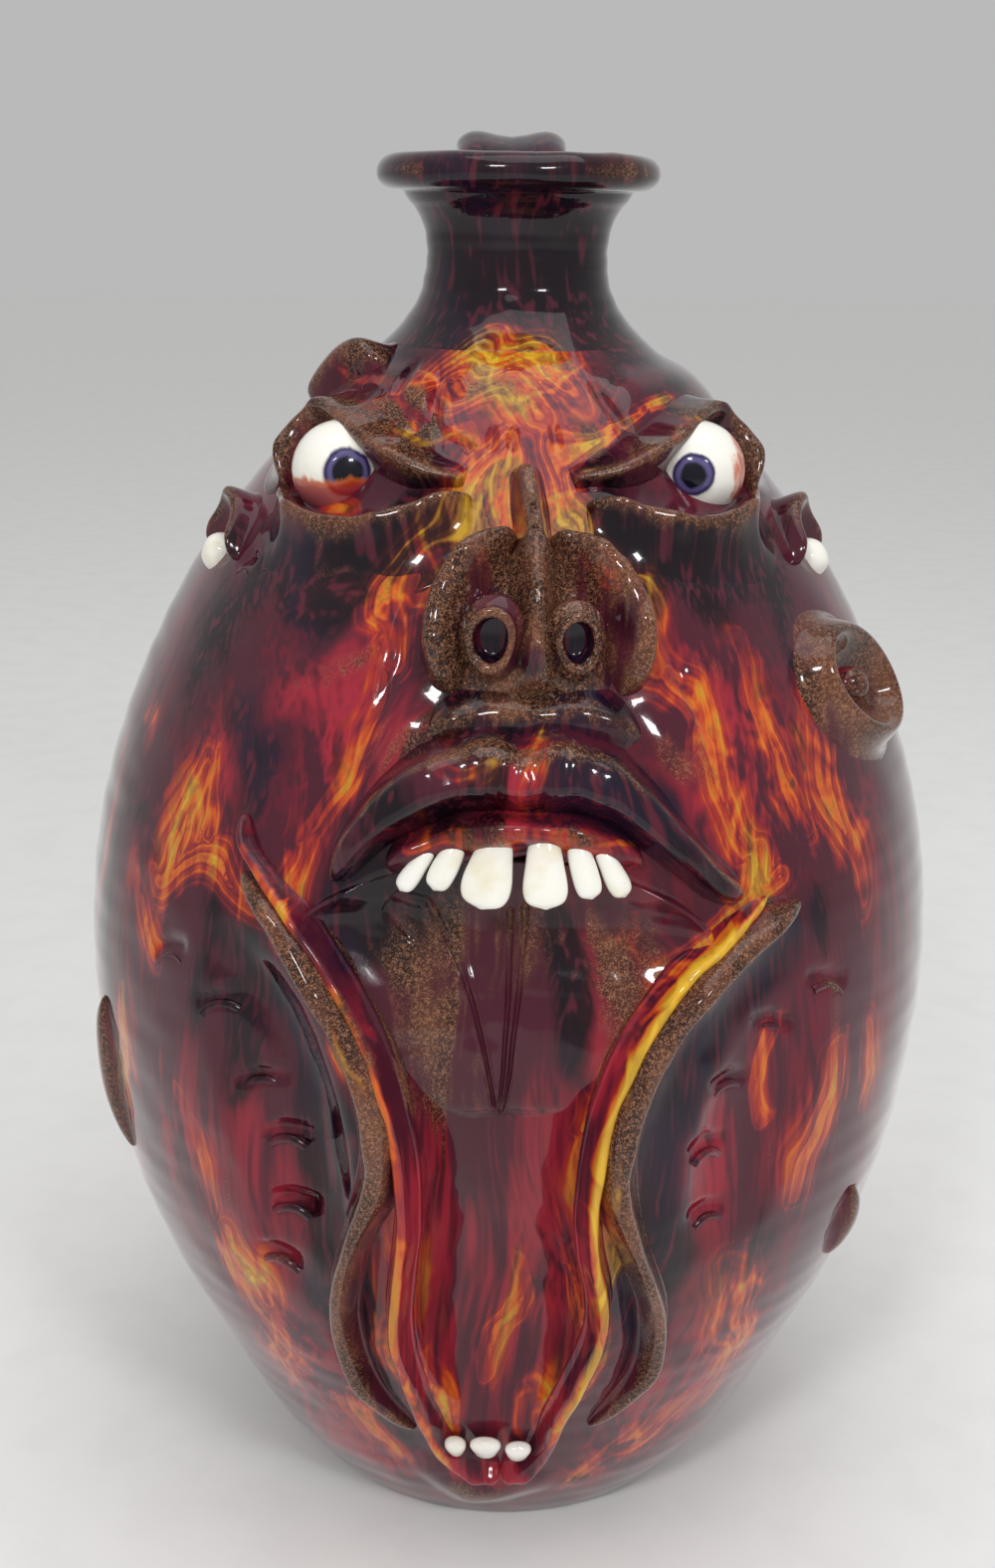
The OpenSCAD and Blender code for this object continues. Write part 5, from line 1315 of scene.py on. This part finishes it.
BARE_CLAY = [
    (10, 0.55, -25.8, 964, -10.6, 969, 7.3, 960),
    (5, 0.45, -34.8, 857, -24.4, 851, -18, 860),
    (3.5, 0.36, -45.1, 605, -46.5, 528, -43.3, 406, -30.5, 314),
    (3.5, 0.3, 41.7, 611, 42.3, 548, 38.9, 451, 32.4, 375, 25.2, 313),
    (5, 0.4, -25, 43, -9.1, 37, 10.6, 44),
    (12, 0.6, -22, 584, -13.5, 611, -3.3, 621),
    (10, 0.5, -16.4, 553, -9.6, 511, -4.3, 455),
    (6, 0.7, -7.7, 786, 1.4, 783, 9.3, 786),
    (5, 0.6, -1.3, 893, 0.2, 870, 0.8, 845),
    (5, 0.5, 15.7, 612, 19.7, 588),
    (8, 0.62, 10.5, 615, 12.5, 575, 10.8, 530),
    (9, 0.45, -5, 600, 2, 600, 3, 570),
]
CRIMSON_POOLS = [
    (14, 0.8, -31.7, 737, -28.5, 766, -24.9, 801),
    (9, 0.95, -16, 773, -17.1, 744, -20, 713),
    (12, 0.9, 18.6, 1015, 35.9, 1002),
    (10, 0.6, -41.4, 1008, -21, 1013),
    (6, 1, -1.1, 743, -1.1, 721),
    (18, 0.75, -11, 408, -9.9, 344, -7.3, 280),
    (14, 0.75, 2.4, 438, 2.1, 346, 2.3, 231),
    (13, 0.85, 24.3, 770, 25.2, 723, 21.7, 685),
    (9, 0.75, -43.7, 727, -39.4, 696),
    (16, 0.5, -51.3, 517, -48.6, 437, -42.7, 361),
    (14, 0.6, -33.2, 226, -34.7, 98, -18.5, 33),
    (14, 0.6, 17.9, 72, 27.5, 173, 33.5, 247),
    (12, 0.6, -26.4, 483, -29.3, 410, -29.5, 355),
    (12, 0.6, 22.9, 488, 22.9, 420, 22.8, 366),
    (5, 0.95, -11.4, 124, -7, 80, 1.9, 108),
    (6, 0.8, 9.8, 611, 11, 566, 8.3, 523),
    (8, 0.7, 17.7, 839, 21.2, 811, 23.5, 777),
]
RELIEF = [
    (1.6, -1.3, -41.6, 986, -39, 962, -25.6, 943, -13.3, 931),
    (2.2, -2, -56.9, 969, -45, 961),
    (1.3, -1.5, -28.7, 978, -24.4, 951, -20.9, 926),
    (1.1, -1.3, -7.8, 945, -7.6, 933),
    (1.1, -1.3, -2.3, 945, -2.7, 933),
    (1.3, -1.5, 24, 970, 25.4, 956, 26.5, 939),
    (1.1, -1.1, 8.2, 948, 8.4, 932),
    (6.5, 2.2, -44.4, 868, -31.9, 864, -21.4, 876, -14.8, 895),
    (6.5, 2.2, 16.7, 897, 23.2, 877, 33.3, 872, 48.5, 878),
    (1.6, -1.6, -39.4, 857, -30.1, 852, -21.7, 860, -14, 879),
    (1.6, -1.6, 16.1, 882, 21.4, 863, 30.5, 856, 41.9, 863),
    (9, 2.6, -90.7, 954, -69.3, 965, -40.3, 956, -23.2, 939),
    (9, 2.6, 85.9, 956, 87.7, 963, 40, 956, 21.2, 939),
    (22, 1.6, -30.7, 805, -25.4, 768),
    (22, 1.6, 27, 808, 26.7, 768),
    (7, 1.6, -13.5, 774, -16.7, 741, -21.1, 706),
    (7, 1.6, 17.1, 773, 20.3, 740, 23.2, 699),
    (6, -3, -36.5, 577, -30.4, 533, -26.1, 480, -24.1, 419, -24, 361),
    (6, -3, 32.8, 583, 25.6, 555, 20.3, 519, 17.2, 470, 15.8, 412),
    (7, -2.6, -29.3, 436, -29.3, 383, -31.1, 330),
    (6, -1.6, 22.6, 476, 22.9, 420, 23.2, 370),
    (4, -2.2, -19.1, 368, -21.1, 312, -23.4, 251, -22.4, 181),
    (4, -2.2, 12.1, 393, 14.8, 330, 18.1, 259, 17.4, 196),
    (3.5, 1.6, -35.1, 680, -32.3, 656, -28.7, 638),
    (6, 2.2, -13, 81, -7.8, 49, 2.5, 71),
    (1.5, -1.2, -15.8, 851, -18.6, 824, -18.3, 792, -20.2, 758),
    (1.5, -1.2, 18.7, 854, 21.8, 824, 22.1, 785, 25.3, 744),
]


def lines_of(rows):
    for half_width, amount, *seats in rows:
        yield [(a, z / 1000) for a, z in zip(seats[::2], seats[1::2])], half_width, amount


def painted_runs():
    """The runs of the front, drawn where they are, and seeded ones like them round the sides and the back."""
    for rows, kind in ((ORANGE_RUNS, "heat"), (DARK_POOLS, "dark"), (BARE_CLAY, "bare"), (CRIMSON_POOLS, "crimson")):
        for line, half_width, amount in lines_of(rows):
            RUNS[kind].stroke(line, half_width, amount, soft=2.0, taper=0.35, cover=True)
    for _ in range(44):
        angle, top, half_width = hand.uniform(60, 300), hand.uniform(0.25, 0.99), hand.uniform(3, 9)
        angle = angle - 360 if angle > 180 else angle
        long, sway = hand.uniform(0.08, 0.34), hand.uniform(-3, 3)
        line = [[angle, top], [angle + sway, top - long / 2], [angle + sway * 0.6, max(top - long, 0.03)]]
        kind = ("heat", "dark", "crimson", "heat", "dark")[int(hand.integers(5))]
        RUNS[kind].stroke(line, half_width, hand.uniform(0.4, 0.8), soft=2.0, taper=0.4, cover=True)


def carved_relief():
    relief = Marks()
    for angle, share, length, turn in NAIL_MARKS:
        reach, rise = length / 4.6, math.sin(math.radians(turn)) * length / 2.3
        line = [[angle - reach, share + (1.9 - rise) / BODY_H], [angle, share + 2.6 / BODY_H],
                [angle + reach, share + (1.9 + rise) / BODY_H]]
        relief.stroke(line, 1.5, -SMALL_DEPTH if length < SMALL_MARK else -MARK_DEPTH, soft=1.4, taper=0.3)
    for line, half_width, rise in lines_of(RELIEF):
        relief.stroke(line, half_width, rise, soft=1.6, taper=0.5)
    return relief


# The jug. A finish is a material and the slot that it stands for
painted_runs()
dark = (flowing_glaze("dark_flowing_glaze"), "dark_glaze")
night_black = (flowing_glaze("near_black_glaze", dark=0.5, crimson=-0.32, heat=-0.12), "neck_glaze")
brown = (flowing_glaze("brown_speckled_glaze", bare=0.14, dark=0.28, heat=-0.06), "brown_glaze")
bright = (flowing_glaze("bright_edge_glaze", heat=-0.34, crimson=0.3, glow=0.55, bare=-0.3), "bright_glaze")
red = (flowing_glaze("red_mouth_glaze", crimson=0.35, bare=-0.1), "red_glaze")
white = (white_glaze(), "white_glaze")

make_body(carved_relief(), dark)
make_neck(night_black)
make_handle(night_black)
coil("upper_lip", brown, UPPER_LIP, 16.5, 13, 150, over=(1.12, 2.8), under=(0.93, 6), around=44, end=0.6,
     brown_side=0.5, paint={"bare": 0.14, "dark": -0.12})
coil("upper_gum", red, UPPER_GUM, 8, 7, 80, over=(1.0, 3), uneven=0.12)
make_teeth(white)
make_tongue((dark[0], red[1]))
for side, fold, rim in (("left", LEFT_FOLD, LEFT_RIM), ("right", RIGHT_FOLD, RIGHT_RIM)):
    coil(f"{side}_cheek_fold", brown, drawn_together(fold, rim), 5.6, 9, 190, over=(0.98, 3.0), around=36, sink=7.0,
         paint={"dark": -0.75, "heat": -0.2, "bare": 0.3})
    coil(f"{side}_mouth_rim", bright, rim, 4.6, 7.2, 220, over=(1.0, 3), around=32)
for side, iris, upper, lower in (("left", 0.52, LEFT_UPPER_LID, LEFT_LOWER_LID),
                                 ("right", 0.45, RIGHT_UPPER_LID, RIGHT_LOWER_LID)):
    make_eye(side, (eye_glaze(f"{side}_eye_glaze", iris), white[1]))
    make_lids(side, brown, upper, lower)
make_nose(brown)
for side in NOSTRILS:
    make_nostril(side, brown)
for side, wing, over, under in (("left", LEFT_WING, (1.5, 1.7), (0.78, 3.2)),
                                ("right", RIGHT_WING, (0.78, 3.2), (1.5, 1.7))):
    coil(f"{side}_nose_wing", brown, wing, 9.5, 13, 110, over=over, under=under, end=0.8, uneven=0.03, around=36,
         paint={"bare": 0.28, "dark": -0.3, "heat": -0.3})
coil("under_nose_pad", brown, UNDER_NOSE, 12, 5.5, 110, over=(1.1, 2.0), uneven=0.08)
make_flanks(brown, white)
make_nail_marks(brown[0])

# Floor and soft lamps. The floor lies just under the foot
FLOOR_R, FLOOR_Z, PALE = 7000, -0.2, (0.94, 0.94, 0.93)


def make_floor():
    corners = [[x * FLOOR_R, y * FLOOR_R, FLOOR_Z] for x, y in ((-1, -1), (1, -1), (1, 1), (-1, 1))]
    obj = clay_mesh("studio_floor", corners, [np.array([[0, 1, 2, 3]])])
    if obj.data.polygons[0].normal.z < 0:
        obj.data.flip_normals()
    obj.data.materials.append(studio_surface("pale_floor", PALE, 0.8))


def lamp(name, place, aim, size, power):
    data = bpy.data.lights.new(name, "AREA")
    data.shape, data.size, data.size_y, data.energy = "RECTANGLE", size[0], size[1], power
    obj = put_in_scene(name, data)
    obj.location = place
    obj.rotation_euler = (Vector(aim) - Vector(place)).to_track_quat("-Z", "Y").to_euler()


def make_sky(light, seen):
    """A white sky with one strength as light and another where the camera sees it."""
    world = bpy.data.worlds.new("studio")
    bpy.context.scene.world = world
    world.use_nodes = True
    b = Bench(world.node_tree)
    b.nodes.clear()
    both = b.put("ShaderNodeMixShader")
    for index, value in enumerate((b.add("ShaderNodeLightPath")["Is Camera Ray"],
                                   b.add("ShaderNodeBackground", Color=(1, 1, 1), Strength=light)[0],
                                   b.add("ShaderNodeBackground", Color=(1, 1, 1), Strength=seen)[0])):
        b.join(both.inputs[index], value)
    b.put("ShaderNodeOutputWorld", Surface=Wire(b, both.outputs[0]))


make_floor()
lamp("soft_top_lamp", (0.1, -0.2, 1.5), (0, 0, 0.15), (1.2, 1.0), 6)
lamp("left_window", (-0.34, -0.95, 0.95), (0, 0, 0.2), (0.20, 0.12), 3.3)
lamp("right_window", (0.42, -0.9, 0.85), (0, 0, 0.2), (0.19, 0.11), 2.9)
make_sky(0.52, 0.49)

# Camera, fitted to the photograph's outline: angles in degrees, and its place in metres
LENS_PIXELS, FRAME_H = 1800.0, 1576
PITCH, ROLL, YAW, FACE_TURN = (math.radians(a) for a in (18.06, 0.69, -0.41, -2.0))
AWAY, UP = 0.4971, 0.3653


def make_camera():
    ahead = Vector((math.sin(YAW), math.cos(YAW), 0))
    right = Vector((math.cos(YAW), -math.sin(YAW), 0))
    look = ahead * math.cos(PITCH) - Vector((0, 0, 1)) * math.sin(PITCH)
    up = ahead * math.sin(PITCH) + Vector((0, 0, 1)) * math.cos(PITCH)
    c, s = math.cos(ROLL), math.sin(ROLL)
    x, y, z = right * c + up * s, up * c - right * s, -look
    data = bpy.data.cameras.new("camera")
    data.sensor_fit, data.sensor_height = "VERTICAL", 36
    data.lens = data.sensor_height * LENS_PIXELS / FRAME_H
    data.clip_start = 0.05
    obj = put_in_scene("camera", data)
    axes = Matrix((x, y, z)).transposed().to_4x4()
    obj.matrix_world = Matrix.Rotation(FACE_TURN, 4, "Z") @ Matrix.Translation((0, -AWAY, UP)) @ axes
    bpy.context.scene.camera = obj


make_camera()
bpy.context.scene.view_settings.view_transform = "Standard"
